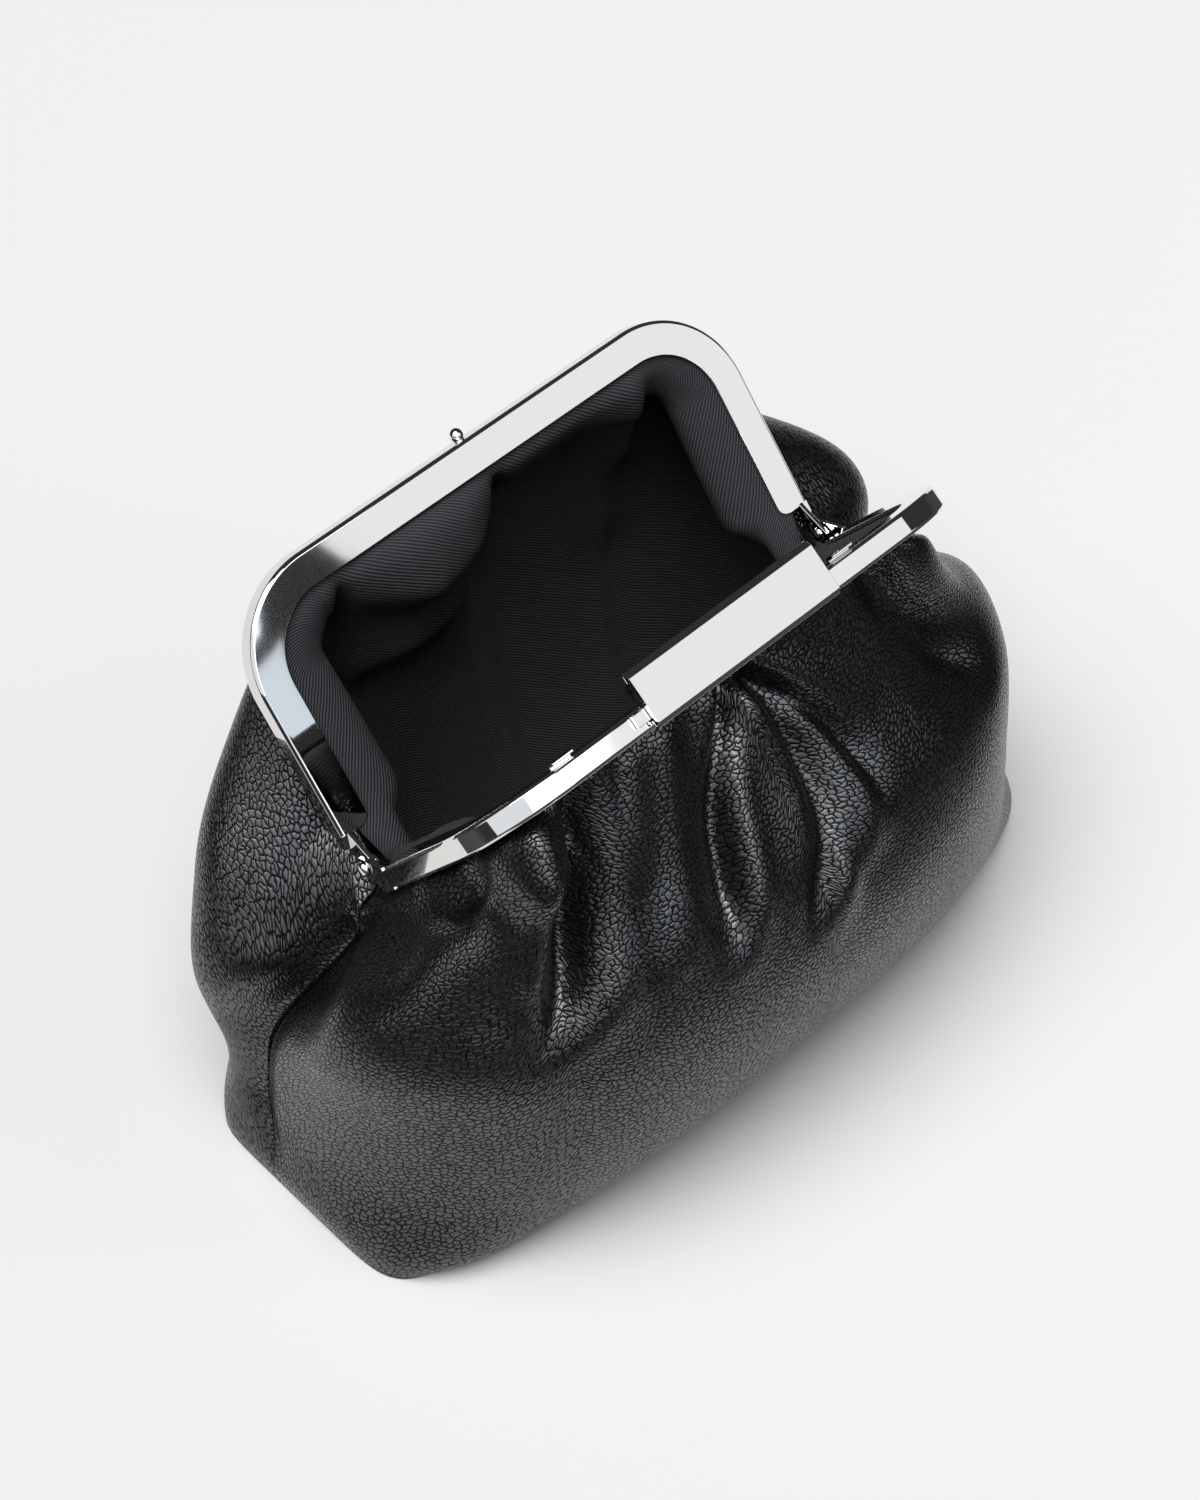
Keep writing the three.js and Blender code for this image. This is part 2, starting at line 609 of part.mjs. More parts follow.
// A grid moved inwards by a thickness. Its last row is the edge of a flat base, and goes in level and up.
function movedIn(grid, thickness, side) {
  const last = grid.length - 1;
  return grid.map((points, row) =>
    points.map((point, column) => {
      const out = outward(grid, row, column, side);
      if (row < last) {
        return point.clone().addScaledVector(out, -thickness);
      }
      const level = out.setZ(0).normalize();
      return point.clone().addScaledVector(level, -thickness).setZ(point.z + thickness);
    }),
  );
}

function leatherGrid(jaw, columns) {
  const lines = [];
  for (let column = 0; column <= columns; column++) {
    lines.push(leatherLine(jaw, column / columns));
  }
  return LEATHER_ROWS.map((row) =>
    lines.map((line) => {
      const place = onLine(line, row);
      place.y += (jaw.side * SEAM_GAP) / 2;
      return gathered(jaw, jaw.folds, place, row, LEATHER_GATHERS);
    }),
  );
}

function panel(jaw, columns) {
  const outer = leatherGrid(jaw, columns);
  return wall(outer, movedIn(outer, LEATHER, jaw.side), false);
}

// The smooth lining on one side of the bag: its own way out of the channel, then the leather moved in
function liningHalf(jaw, columns) {
  const lines = [];
  for (let column = 0; column <= columns; column++) {
    lines.push(leatherLine(jaw, column / columns));
  }
  const rows = RINGS.map((_, index) => LEATHER_EXIT.length + index);
  const smooth = rows.map((row) => lines.map((line) => onLine(line, row)));
  const rings = movedIn(smooth, LEATHER + LINING_GAP, jaw.side);
  for (const point of rings.at(-1)) {
    point.z = LINING_FLOOR;
  }
  const half = lines.map((_, column) => {
    const exits = LINING_EXIT.map((step) => exitPoint(jaw, step, column / columns));
    const below = rings.map((ring) => ring[column]);
    return new THREE.CatmullRomCurve3([...exits, ...below], false, "centripetal");
  });
  const valleys = jaw.folds.filter((fold) => fold.out < 0);
  return LINING_ROWS.map((row) =>
    half.map((line) => gathered(jaw, valleys, onLine(line, row), row, LINING_GATHERS)),
  );
}

function liningBag() {
  const front = liningHalf(FRONT, FRONT_COLUMNS);
  const back = liningHalf(BACK, BACK_COLUMNS);
  const frontIn = movedIn(front, LINING, FRONT.side);
  const backIn = movedIn(back, LINING, BACK.side);
  const round = (there, andBack) =>
    there.map((row, index) => [...row, ...andBack[index].slice(1, -1).reverse()]);
  return wall(round(front, back), round(frontIn, backIn), true);
}

// The assembly: the bag is drawn about the hinge axis, which lies behind the middle of the base
const part = new THREE.Group();
const bag = new THREE.Group();
bag.position.y = HINGE_BEHIND;
part.add(bag);

function add(parent, name, geometry, material) {
  const mesh = new THREE.Mesh(geometry, material);
  mesh.name = name;
  parent.add(mesh);
  return mesh;
}

// A jaw's frame in the bag: the back one is the front one turned half round
function jawFrame({ side, lean }) {
  const turned = new THREE.Group();
  turned.position.z = HINGE_HEIGHT;
  turned.rotation.z = side > 0 ? Math.PI : 0;
  const leaning = new THREE.Group();
  leaning.rotation.x = Math.PI / 2 + lean;
  turned.add(leaning);
  bag.add(turned);
  return leaning;
}

const backFrame = jawFrame(BACK);
add(backFrame, "back_jaw", backJaw(), nickel);
add(backFrame, "ball_stud", ballStud(), nickel);

const frontFrame = jawFrame(FRONT);
add(frontFrame, "front_jaw", frontJaw(), nickel);
add(frontFrame, "clasp_plate", claspPlate(), nickel);
add(frontFrame, "clasp_bar", claspBar(), nickel);

const RIVET_MIDDLE = FRAME_WIDTH / 2 - EAR_THICKNESS - GAP / 2;
add(bag, "left_rivet", rivet(), nickel).position.set(-RIVET_MIDDLE, 0, HINGE_HEIGHT);
add(bag, "right_rivet", rivet(), nickel).position.set(RIVET_MIDDLE, 0, HINGE_HEIGHT);

add(bag, "front_panel", panel(FRONT, FRONT_COLUMNS), blackLeather);
add(bag, "back_panel", panel(BACK, BACK_COLUMNS), blackLeather);
add(bag, "lining", liningBag(), charcoalTwill);

export default part;
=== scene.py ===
import math

import bmesh
import bpy
import numpy as np
from mathutils import Matrix, Vector


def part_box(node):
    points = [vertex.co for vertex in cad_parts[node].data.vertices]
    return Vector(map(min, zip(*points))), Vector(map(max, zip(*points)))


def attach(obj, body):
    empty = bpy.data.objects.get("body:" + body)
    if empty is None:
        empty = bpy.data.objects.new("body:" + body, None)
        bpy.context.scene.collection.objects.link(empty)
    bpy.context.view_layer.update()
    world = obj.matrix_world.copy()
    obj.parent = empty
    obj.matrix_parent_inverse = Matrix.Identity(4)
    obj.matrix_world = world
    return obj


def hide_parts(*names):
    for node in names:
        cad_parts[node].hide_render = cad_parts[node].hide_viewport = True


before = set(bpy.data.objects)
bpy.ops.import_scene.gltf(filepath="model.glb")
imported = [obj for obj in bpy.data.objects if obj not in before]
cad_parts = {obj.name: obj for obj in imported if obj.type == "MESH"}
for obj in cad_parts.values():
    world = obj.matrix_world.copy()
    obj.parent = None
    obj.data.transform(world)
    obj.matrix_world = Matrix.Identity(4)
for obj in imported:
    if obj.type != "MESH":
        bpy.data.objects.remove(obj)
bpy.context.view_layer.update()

# Camera, looking down on the open bag from beyond its front left corner.
# It is aimed near the middle of the hinge axis, which the left rivet gives. Lengths are millimetres.
MM = 0.001
CAMERA_TURN = math.radians(43.49)
CAMERA_DROP = math.radians(51.82)
CAMERA_DISTANCE = 923.57
CAMERA_ASIDE = -1.14
CAMERA_LIFT = -15.56
CAMERA_LENS = 82.96
CAMERA_SENSOR = 36

rivet_low, rivet_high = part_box("left_rivet")
HINGE_Y = (rivet_low.y + rivet_high.y) / 2 / MM
HINGE_Z = (rivet_low.z + rivet_high.z) / 2 / MM

look = Vector((
    math.cos(CAMERA_DROP) * math.sin(CAMERA_TURN),
    math.cos(CAMERA_DROP) * math.cos(CAMERA_TURN),
    -math.sin(CAMERA_DROP),
))
look_right = Vector((math.cos(CAMERA_TURN), -math.sin(CAMERA_TURN), 0))
look_up = look_right.cross(look)
hinge_middle = Vector((0, HINGE_Y, HINGE_Z))
eye = hinge_middle - look * CAMERA_DISTANCE + look_right * CAMERA_ASIDE + look_up * CAMERA_LIFT
lens = bpy.data.cameras.new("photo_view")
lens.lens = CAMERA_LENS
lens.sensor_width = CAMERA_SENSOR
lens.sensor_height = CAMERA_SENSOR
lens.sensor_fit = "AUTO"
camera = bpy.data.objects.new("photo_view", lens)
turned = Matrix((look_right, look_up, -look)).transposed().to_4x4()
camera.matrix_world = Matrix.Translation(eye * MM) @ turned
bpy.context.scene.collection.objects.link(camera)
bpy.context.scene.camera = camera

# Jaws: two U-shaped frames of pressed channel, polished and nickel plated, that open about the hinge axis.
# Each has a flat rim with bevelled edges and two broad flanges, which hold the leather and the lining
# between them, and ends in an ear at each hinge. The front jaw has two small tabs on its inner flange.
FRAME_WIDTH = 170
LEG_LENGTH = 77.7
CORNER_RADIUS = 28
CORNER_STEPS = 30
CHANNEL_WIDTH = 6.5
RIM_WALL = 1.3
RIM_BEVEL = 0.8
FLANGE_DEPTH = 9.5
FLANGE_WALL = 1
FLANGE_START = 9
FLANGE_ROUND = 3
FLANGE_ROUND_STEPS = 8
EDGE_ROUND = 0.25
EDGE_STEPS = 3
EDGE_LONGEST = 0.45
EAR_RADIUS = 3.4
EAR_THICKNESS = 1.3
EAR_GAP = 0.3
EAR_SET_IN = EAR_THICKNESS + EAR_GAP
EAR_NECK = 4.6
EAR_LAP = 0.5
EAR_CHAMFER = 0.15
EAR_SHY = 0.02
EAR_STEPS = 20
JOGGLE_START = 5.5
TABS = [(-60.1, -53.5), (35.9, 43)]
TAB_REACH = 1.6
TAB_THICKNESS = 0.8
TAB_FOOT = -3.2
TAB_TOP = 0.3
FRONT = {"side": -1, "lean": math.radians(35), "set": 1.9}
BACK = {"side": 1, "lean": math.radians(41), "set": 2.6}
LEG_STRAIGHT = LEG_LENGTH - CORNER_RADIUS
CORNER_LENGTH = CORNER_RADIUS * math.pi / 2
JAW_LENGTH = 2 * (LEG_STRAIGHT + CORNER_LENGTH) + FRAME_WIDTH - 2 * CORNER_RADIUS


def jaw_place(jaw, x, s, n):
    """A place in a jaw's own frame, with s up its legs and n out of the bag, in the bag's millimetres."""
    x, s, n = np.broadcast_arrays(x, s, n)
    y = HINGE_Y + jaw["side"] * (s * math.sin(jaw["lean"]) + n * math.cos(jaw["lean"]))
    z = HINGE_Z + s * math.cos(jaw["lean"]) - n * math.sin(jaw["lean"])
    return np.stack([x, y, z], axis=-1).astype(float)


def jaw_edge(length):
    """Places on a jaw's outer edge at lengths from its left hinge, and the directions into the U."""
    length = np.asarray(length, float)
    hand = np.where(length > JAW_LENGTH / 2, 1.0, -1.0)
    run = np.minimum(length, JAW_LENGTH - length)
    half = FRAME_WIDTH / 2
    turn = np.clip((run - LEG_STRAIGHT) / CORNER_RADIUS, 0, math.pi / 2)
    along_top = np.maximum(run - LEG_STRAIGHT - CORNER_LENGTH, 0)
    x = hand * (half - CORNER_RADIUS + CORNER_RADIUS * np.cos(turn) - along_top)
    s = np.minimum(run, LEG_STRAIGHT) + CORNER_RADIUS * np.sin(turn)
    return x, s, -hand * np.cos(turn), -np.sin(turn)


def rounded(corners, radius):
    """An outline with each corner replaced by a small curve, which takes less than half of a short side."""
    corners = np.asarray(corners, float)
    points = []
    for index, corner in enumerate(corners):
        before = corners[index - 1] - corner
        after = corners[(index + 1) % len(corners)] - corner
        start = corner + before * min(radius / np.hypot(*before), EDGE_LONGEST)
        end = corner + after * min(radius / np.hypot(*after), EDGE_LONGEST)
        for share in np.linspace(0, 1, EDGE_STEPS + 1):
            points.append((1 - share) ** 2 * start + 2 * share * (1 - share) * corner + share ** 2 * end)
    return np.array(points)


def channel_section(depth):
    """The channel's outline as inset from the jaw's outer edge and across its width."""
    width = CHANNEL_WIDTH
    return rounded([
        (0, RIM_BEVEL), (0, width - RIM_BEVEL), (RIM_BEVEL, width), (depth, width),
        (depth, width - FLANGE_WALL), (RIM_WALL, width - FLANGE_WALL), (RIM_WALL, FLANGE_WALL),
        (depth, FLANGE_WALL), (depth, 0), (RIM_BEVEL, 0),
    ], EDGE_ROUND)


def swept(rings):
    """A closed skin through rings of equal count, with its two ends filled."""
    stations, count = rings.shape[:2]
    faces = [tuple(range(count)), tuple(range((stations - 1) * count, stations * count))]
    for ring in range(stations - 1):
        for here in range(count):
            after = (here + 1) % count
            a, b = ring * count, (ring + 1) * count
            faces.append((a + here, a + after, b + after, b + here))
    return rings.reshape(-1, 3), faces


def channel(jaw):
    """The channel bent along the U, with its flanges rounded off towards the hinges."""
    stations = []
    for share in np.linspace(0, 1, FLANGE_ROUND_STEPS):
        cut_back = FLANGE_ROUND * (1 - math.sqrt(1 - (1 - share) ** 2))
        stations.append((FLANGE_START + share * FLANGE_ROUND, FLANGE_DEPTH - cut_back))
    for step in range(CORNER_STEPS + 1):
        stations.append((LEG_STRAIGHT + CORNER_LENGTH * step / CORNER_STEPS, FLANGE_DEPTH))
    stations += [(JAW_LENGTH - length, depth) for length, depth in reversed(stations)]
    rings = []
    for length, depth in stations:
        x, s, in_x, in_s = jaw_edge(length)
        inset, across = channel_section(depth).T
        rings.append(jaw_place(jaw, x + inset * in_x, s + inset * in_s, jaw["set"] + across))
    return swept(np.array(rings))


def drawn_in(outline, distance):
    """A flat outline moved inwards all round."""
    ahead = np.roll(outline, -1, axis=0) - np.roll(outline, 1, axis=0)
    normal = np.stack([ahead[:, 1], -ahead[:, 0]], axis=-1)
    normal /= np.linalg.norm(normal, axis=1, keepdims=True)
    x, y = outline.T
    area = np.sum(x * np.roll(y, -1) - np.roll(x, -1) * y)
    return outline - math.copysign(distance, area) * normal


def bar_along_hinge(jaw, outline, left, right, chamfer):
    """A straight piece along the hinge direction with chamfered ends, from an outline of (n, s) places."""
    inner = drawn_in(outline, chamfer)
    ends = [(left, inner), (left + chamfer, outline), (right - chamfer, outline), (right, inner)]
    return swept(np.array([jaw_place(jaw, x, loop[:, 1], loop[:, 0]) for x, loop in ends]))


def ear(jaw, hand, set_in):
    """A hinge ear: a plate round the pivot that runs up into the rim of its leg."""
    low, high = jaw["set"], jaw["set"] + (EAR_NECK if set_in else CHANNEL_WIDTH)
    turn = np.linspace(math.pi, 2 * math.pi, EAR_STEPS)
    arc = EAR_RADIUS * np.stack([np.cos(turn), np.sin(turn)], axis=-1)
    neck = [(high, EAR_RADIUS), (high, FLANGE_START + EAR_LAP), (low, FLANGE_START + EAR_LAP)]
    outline = np.concatenate([arc, np.array(neck)])
    far = hand * (FRAME_WIDTH / 2 - set_in - EAR_SHY)
    near = hand * (FRAME_WIDTH / 2 - set_in - EAR_THICKNESS + EAR_SHY)
    return bar_along_hinge(jaw, outline, min(far, near), max(far, near), EAR_CHAMFER)


def joggle(jaw, hand):
    """The step between a leg's rim and an ear that is set in behind the other jaw's ear."""
    low, high = jaw["set"], jaw["set"] + EAR_NECK
    top = FLANGE_START + EAR_LAP
    outline = rounded([(low, JOGGLE_START), (high, JOGGLE_START), (high, top), (low, top)], EDGE_ROUND)
    far = hand * (FRAME_WIDTH / 2 - EAR_SHY)
    near = hand * (FRAME_WIDTH / 2 - EAR_SET_IN - EAR_THICKNESS)
    return bar_along_hinge(jaw, outline, min(far, near), max(far, near), EAR_CHAMFER)


def tab(jaw, left, right):
    """A small bent plate on the inner flange, which stops the other jaw."""
    face = jaw["set"] - TAB_REACH
    foot, top = LEG_LENGTH + TAB_FOOT, LEG_LENGTH + TAB_TOP
    outline = rounded([
        (jaw["set"] + EDGE_ROUND, foot), (jaw["set"] + EDGE_ROUND, foot + TAB_THICKNESS),
        (face + TAB_THICKNESS, foot + TAB_THICKNESS), (face + TAB_THICKNESS, top), (face, top), (face, foot),
    ], EDGE_ROUND)
    return bar_along_hinge(jaw, outline, left, right, EAR_CHAMFER)


def add_node(tree, kind, **values):
    """A shader node with its input sockets set by name."""
    made = tree.nodes.new(kind)
    for socket, value in values.items():
        made.inputs[socket.replace("_", " ")].default_value = value
    return made


def new_material(name):
    """An empty material with its tree and its surface shader."""
    material = bpy.data.materials.new(name)
    material.use_nodes = True
    return material, material.node_tree, material.node_tree.nodes["Principled BSDF"]


# Nickel plate: bright, a little warm, with the slow waves and faint haze of hand polishing
NICKEL_COLOUR = (0.80, 0.79, 0.77, 1)
NICKEL_ROUGHNESS = (0.03, 0.045)
NICKEL_WAVE_SCALE = 38
NICKEL_WAVE_DETAIL = 1
NICKEL_WAVE_STRENGTH = 0.07
NICKEL_WAVE_HEIGHT = 0.0006
NICKEL_HAZE_SCALE = 420
NICKEL_HAZE_DETAIL = 3
nickel, tree, shader = new_material("polished_nickel")
shader.inputs["Base Color"].default_value = NICKEL_COLOUR
shader.inputs["Metallic"].default_value = 1
place = add_node(tree, "ShaderNodeTexCoord").outputs["Object"]
waves = add_node(tree, "ShaderNodeTexNoise", Scale=NICKEL_WAVE_SCALE, Detail=NICKEL_WAVE_DETAIL)
haze = add_node(tree, "ShaderNodeTexNoise", Scale=NICKEL_HAZE_SCALE, Detail=NICKEL_HAZE_DETAIL)
tree.links.new(place, waves.inputs["Vector"])
tree.links.new(place, haze.inputs["Vector"])
rub = add_node(tree, "ShaderNodeMapRange", To_Min=NICKEL_ROUGHNESS[0], To_Max=NICKEL_ROUGHNESS[1])
tree.links.new(haze.outputs["Fac"], rub.inputs["Value"])
tree.links.new(rub.outputs["Result"], shader.inputs["Roughness"])
ripple = add_node(tree, "ShaderNodeBump", Strength=NICKEL_WAVE_STRENGTH, Distance=NICKEL_WAVE_HEIGHT)
tree.links.new(waves.outputs["Fac"], ripple.inputs["Height"])
tree.links.new(ripple.outputs["Normal"], shader.inputs["Normal"])

METAL_CREASE = math.radians(38)


def metal_piece(name, skins, node, body):
    """One metal object from its closed skins, which stands for a CAD node and rides on a body."""
    points, faces = [], []
    for skin_points, skin_faces in skins:
        first = sum(len(done) for done in points)
        points.append(skin_points)
        faces += [tuple(first + corner for corner in face) for face in skin_faces]
    mesh = bpy.data.meshes.new(name)
    mesh.from_pydata((np.concatenate(points) * MM).tolist(), [], faces)
    shaped = bmesh.new()
    shaped.from_mesh(mesh)
    bmesh.ops.recalc_face_normals(shaped, faces=shaped.faces)
    shaped.to_mesh(mesh)
    shaped.free()
    mesh.shade_smooth()
    mesh.set_sharp_from_angle(angle=METAL_CREASE)
    mesh.materials.append(nickel)
    piece = bpy.data.objects.new(name, mesh)
    bpy.context.scene.collection.objects.link(piece)
    even = piece.modifiers.new("even_shading", "WEIGHTED_NORMAL")
    even.keep_sharp = True
    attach(piece, body)
    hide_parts(node)
    return piece


back_skins = [channel(BACK)]
front_skins = [channel(FRONT)]
for hand in (-1, 1):
    back_skins += [ear(BACK, hand, EAR_SET_IN), joggle(BACK, hand)]
    front_skins += [ear(FRONT, hand, 0)]
for left, right in TABS:
    front_skins.append(tab(FRONT, left, right))
metal_piece("plated_back_jaw", back_skins, "back_jaw", "bag")
metal_piece("plated_front_jaw", front_skins, "front_jaw", "bag")

# Rivets and ball stud: small turned steel pieces, plated like the jaws. A rivet with two domed heads joins
# the ears at each hinge, and the ball stands on a short neck in the middle of the back jaw's rim.
# Domes and ball end in a tiny flat, a small turn short of their tips.
TURNED_SIDES = 40
DOME_STEPS = 10
DOME_TIP = 0.04
RIVET_PIN = 1.2
RIVET_HEAD = 2.3
RIVET_DOME = 1.4
RIVET_HALF = 1.75
RIVET_MIDDLE = FRAME_WIDTH / 2 - EAR_THICKNESS - EAR_GAP / 2
BALL_RADIUS = 1.9
BALL_LIFT = 1.7
BALL_ACROSS = 3.1
BALL_STEPS = 24
BALL_TIP = 0.03
NECK_RADIUS = 1
NECK_FOOT = 1.5
NECK_COLLAR = 0.4


def lathed(profile):
    """A turned skin about a height axis, from (radius, height) places. It is closed at both ends."""
    turn = np.linspace(0, 2 * math.pi, TURNED_SIDES, endpoint=False)
    rings = []
    for radius, height in profile:
        level = np.full_like(turn, height)
        rings.append(np.stack([radius * np.cos(turn), radius * np.sin(turn), level], axis=-1))
    return swept(np.array(rings))


quarter = np.linspace(DOME_TIP, math.pi / 2, DOME_STEPS)
dome = [(RIVET_HEAD * math.sin(t), RIVET_HALF + RIVET_DOME * math.cos(t)) for t in quarter]
far_dome = [(radius, -height) for radius, height in dome]
shaft = [(RIVET_PIN, -RIVET_HALF), (RIVET_PIN, RIVET_HALF)]
rivet_profile = far_dome + shaft + dome[::-1]
for side, hand in (("left", -1), ("right", 1)):
    turned_points, turned_faces = lathed(rivet_profile)
    aside, upward, along = turned_points.T
    pin = np.stack([hand * RIVET_MIDDLE + along, HINGE_Y + aside, HINGE_Z + upward], axis=-1)
    metal_piece(f"plated_{side}_rivet", [(pin, turned_faces)], f"{side}_rivet", "bag")

ball_centre = LEG_LENGTH + BALL_LIFT
ball_turn = np.linspace(math.asin(NECK_RADIUS / BALL_RADIUS), math.pi - BALL_TIP, BALL_STEPS)
ball_profile = [
    (NECK_RADIUS, LEG_LENGTH - RIM_WALL),
    (NECK_FOOT, LEG_LENGTH),
    (NECK_FOOT, LEG_LENGTH + NECK_COLLAR),
]
ball_profile += [(BALL_RADIUS * math.sin(t), ball_centre - BALL_RADIUS * math.cos(t)) for t in ball_turn]
ball_points, ball_faces = lathed(ball_profile)
aside, across, height = ball_points.T
ball_place = jaw_place(BACK, aside, height, BACK["set"] + BALL_ACROSS + across)
metal_piece("plated_ball_stud", [(ball_place, ball_faces)], "ball_stud", "bag")

# Clasp: a plate pinned along the front jaw's rim on a narrow foot, and the bar that slides along it.
# The bar is one bent sheet of plated steel that grips the plate's two edges, open at both ends.
CLASP_CHAMFER = 0.12
CLASP_ROUND = 0.2
BAR_ENDS = (-31.9, 31.1)
BAR_BACK = -7
BAR_FRONT = 8.9
BAR_HEIGHT = 3.5
BAR_SHEET = 0.7
BAR_BEVEL_BACK = 1.6
BAR_BEVEL_FRONT = 1.3
LIP_FOOT = 0.4
LIP_BACK = -4.2
LIP_FRONT = 6.5
PLATE_ENDS = (-36.2, 27)
PLATE_WIDE_LEFT = -31.6
PLATE_BACK = -5
PLATE_FRONT = 7.2
PLATE_THICKNESS = 0.9
PLATE_LIFT = 0.3
FOOT_BACK = 2.6
FOOT_FRONT = 6
FOOT_HEIGHT = 1.6
STOP_THICKNESS = 0.8
STOP_DROP = 2
STOP_BACK = -3.8
STOP_FRONT = 1.2


def block(back, front, low, high):
    """The outline of a plain block across the front jaw's rim, with eased edges."""
    bottom, top = LEG_LENGTH + low, LEG_LENGTH + high
    return rounded([(back, bottom), (front, bottom), (front, top), (back, top)], CLASP_ROUND)


plate_top = FOOT_HEIGHT + PLATE_THICKNESS
foot_outline = block(FOOT_BACK, FOOT_FRONT, PLATE_LIFT, FOOT_HEIGHT + CLASP_CHAMFER)
head_outline = block(PLATE_BACK, PLATE_FRONT, FOOT_HEIGHT, plate_top)
stop_outline = block(STOP_BACK, STOP_FRONT, -STOP_DROP, plate_top)
stop_right = PLATE_WIDE_LEFT + STOP_THICKNESS
metal_piece("plated_clasp_plate", [
    bar_along_hinge(FRONT, foot_outline, *PLATE_ENDS, CLASP_CHAMFER),
    bar_along_hinge(FRONT, head_outline, PLATE_WIDE_LEFT, PLATE_ENDS[1], CLASP_CHAMFER),
    bar_along_hinge(FRONT, stop_outline, PLATE_WIDE_LEFT, stop_right, CLASP_CHAMFER),
], "clasp_plate", "bag")

lip = LEG_LENGTH + LIP_FOOT
bar_top = LEG_LENGTH + BAR_HEIGHT
inside = BAR_SHEET / 2
bar_outline = rounded([
    (LIP_BACK, lip), (BAR_BACK, lip),
    (BAR_BACK, bar_top - BAR_BEVEL_BACK), (BAR_BACK + BAR_BEVEL_BACK, bar_top),
    (BAR_FRONT - BAR_BEVEL_FRONT, bar_top), (BAR_FRONT, bar_top - BAR_BEVEL_FRONT), (BAR_FRONT, lip),
    (LIP_FRONT, lip), (LIP_FRONT, lip + BAR_SHEET), (BAR_FRONT - BAR_SHEET, lip + BAR_SHEET),
    (BAR_FRONT - BAR_SHEET, bar_top - BAR_BEVEL_FRONT - inside),
    (BAR_FRONT - BAR_BEVEL_FRONT - inside, bar_top - BAR_SHEET),
    (BAR_BACK + BAR_BEVEL_BACK + inside, bar_top - BAR_SHEET),
    (BAR_BACK + BAR_SHEET, bar_top - BAR_BEVEL_BACK - inside),
    (BAR_BACK + BAR_SHEET, lip + BAR_SHEET), (LIP_BACK, lip + BAR_SHEET),
], CLASP_ROUND)
bar_skin = bar_along_hinge(FRONT, bar_outline, *BAR_ENDS, CLASP_CHAMFER)
metal_piece("plated_clasp_bar", [bar_skin], "clasp_bar", "bar")

# Leather panels: a front and a back of black pebbled cowhide, gathered into the jaws' channels and sewn to
# each other in the side folds and along the middle of the base, with the seams turned inside.
LEATHER = 1.5
SEAM_GAP = 0.3
PANEL_COLUMNS = 380
EXIT_ROWS = 12
BODY_ROWS = 100
BASE_ROWS = 7
LEG_HOLD_START = 12
SEAM_RUN = 20
MOUTH_LENGTH = JAW_LENGTH - 2 * LEG_HOLD_START + 2 * SEAM_RUN

# How a panel leaves the channel: inset from the jaw's outer edge and across from the channel's inner face,
# on a leg and on the top, then the same step at the side seam as x and z
LEATHER_EXIT = [
    (4.5, 5.2, 4.5, 5.2, 80.5, 99.5),
    (10.2, 5.2, 9.9, 5.2, 81.5, 96.2),
    (11.4, 7.5, 12, 6.2, 83.8, 93.6),
    (8, 10.5, 15, 10, 88, 91.6),
]

# Rings from shoulder to base: half width, depth and squareness of the front and of the back, depth of the
# side fold, and the heights at the side seam, the front middle and the back middle
RING_STEPS = 400
RINGS = [
    (114, 60, 3.3, 64, 3.1, 23, 81.5, 128, 128),
    (122, 79.5, 2.6, 66, 2.9, 16.5, 68, 102.5, 98),
    (120.5, 88.5, 2.5, 61, 2.8, 4, 47, 67, 62),
    (121.5, 83, 2.9, 53, 2.8, 1, 22, 33, 30),
    (125.5, 67, 5, 43, 4, 0.5, 5, 9, 8),
    (125, 55, 9, 35, 6, 0, 0, 0, 0),
]

# Gathers: x at the jaw, halfway and at the foot, the foot's height, the half breadths to the left and to the
# right, and how far it stands out of the panel. A valley stands out by less than nothing.
# All of them start at one height, fade above their feet, and flatten out towards the ends of the panel.
FOLD_TOP = 152
FOLD_FADE = 24
FOLD_REACH = (76, 102)
FOLD_TIGHT = 0.75
FOLD_CREASE = 1.7
GATHER_ROWS = (2.1, 3.5)
FRONT["folds"] = [
    (-68, -74, -85, 90, 6.5, 6, 7.5),
    (-53, -61, -91, 84, 4.5, 8, -9),
    (-40, -43, -45, 128, 3.5, 3.5, -2.5),
    (-37, -48, -86, 82, 12, 13, 3.5),
    (-24, -32, -48, 94, 7, 7, 3),
    (2, -25, -29, 90, 6.5, 5.5, -9),
    (-8, -11, -30, 86, 7, 7, 3.5),
    (6, 23, -9, 84, 5.5, 5.5, -7),
    (4, 12, 4, 76, 6, 6, 3.5),
    (2, 37, 25, 98, 5, 6, -8),
    (5, 41, 13, 90, 7, 10, 4.5),
    (52, 64, 94, 90, 10, 11, -7),
]
BACK["folds"] = [
    (-62, -66, -70, 72, 11, 11, -4),
    (-34, -36, -38, 66, 12, 12, 4),
    (-8, -7, -6, 66, 11, 11, -4),
    (20, 22, 24, 66, 12, 12, 4),
    (48, 52, 56, 70, 11, 11, -4),
]
# Rolls and hollows at the ends of the panels: the place, its radius and how far it stands out
FRONT["lumps"] = [
    (-78, -23, 128, 12, -9),
    (-91, -33, 121, 15, 2.5),
    (-104, -28, 106, 16, 2.5),
    (-116, -20, 90, 16, 2),
    (-100, -13, 107, 11, -3),
    (-69, -38, 140, 9, 4.5),
    (104, -14, 112, 16, 3),
]
BACK["lumps"] = [
    (-109, 28, 73, 13, 4),
    (-117, 36, 57, 19, 4.5),
    (103, 45, 110, 22, 3),
    (115, 33, 82, 20, 9),
]
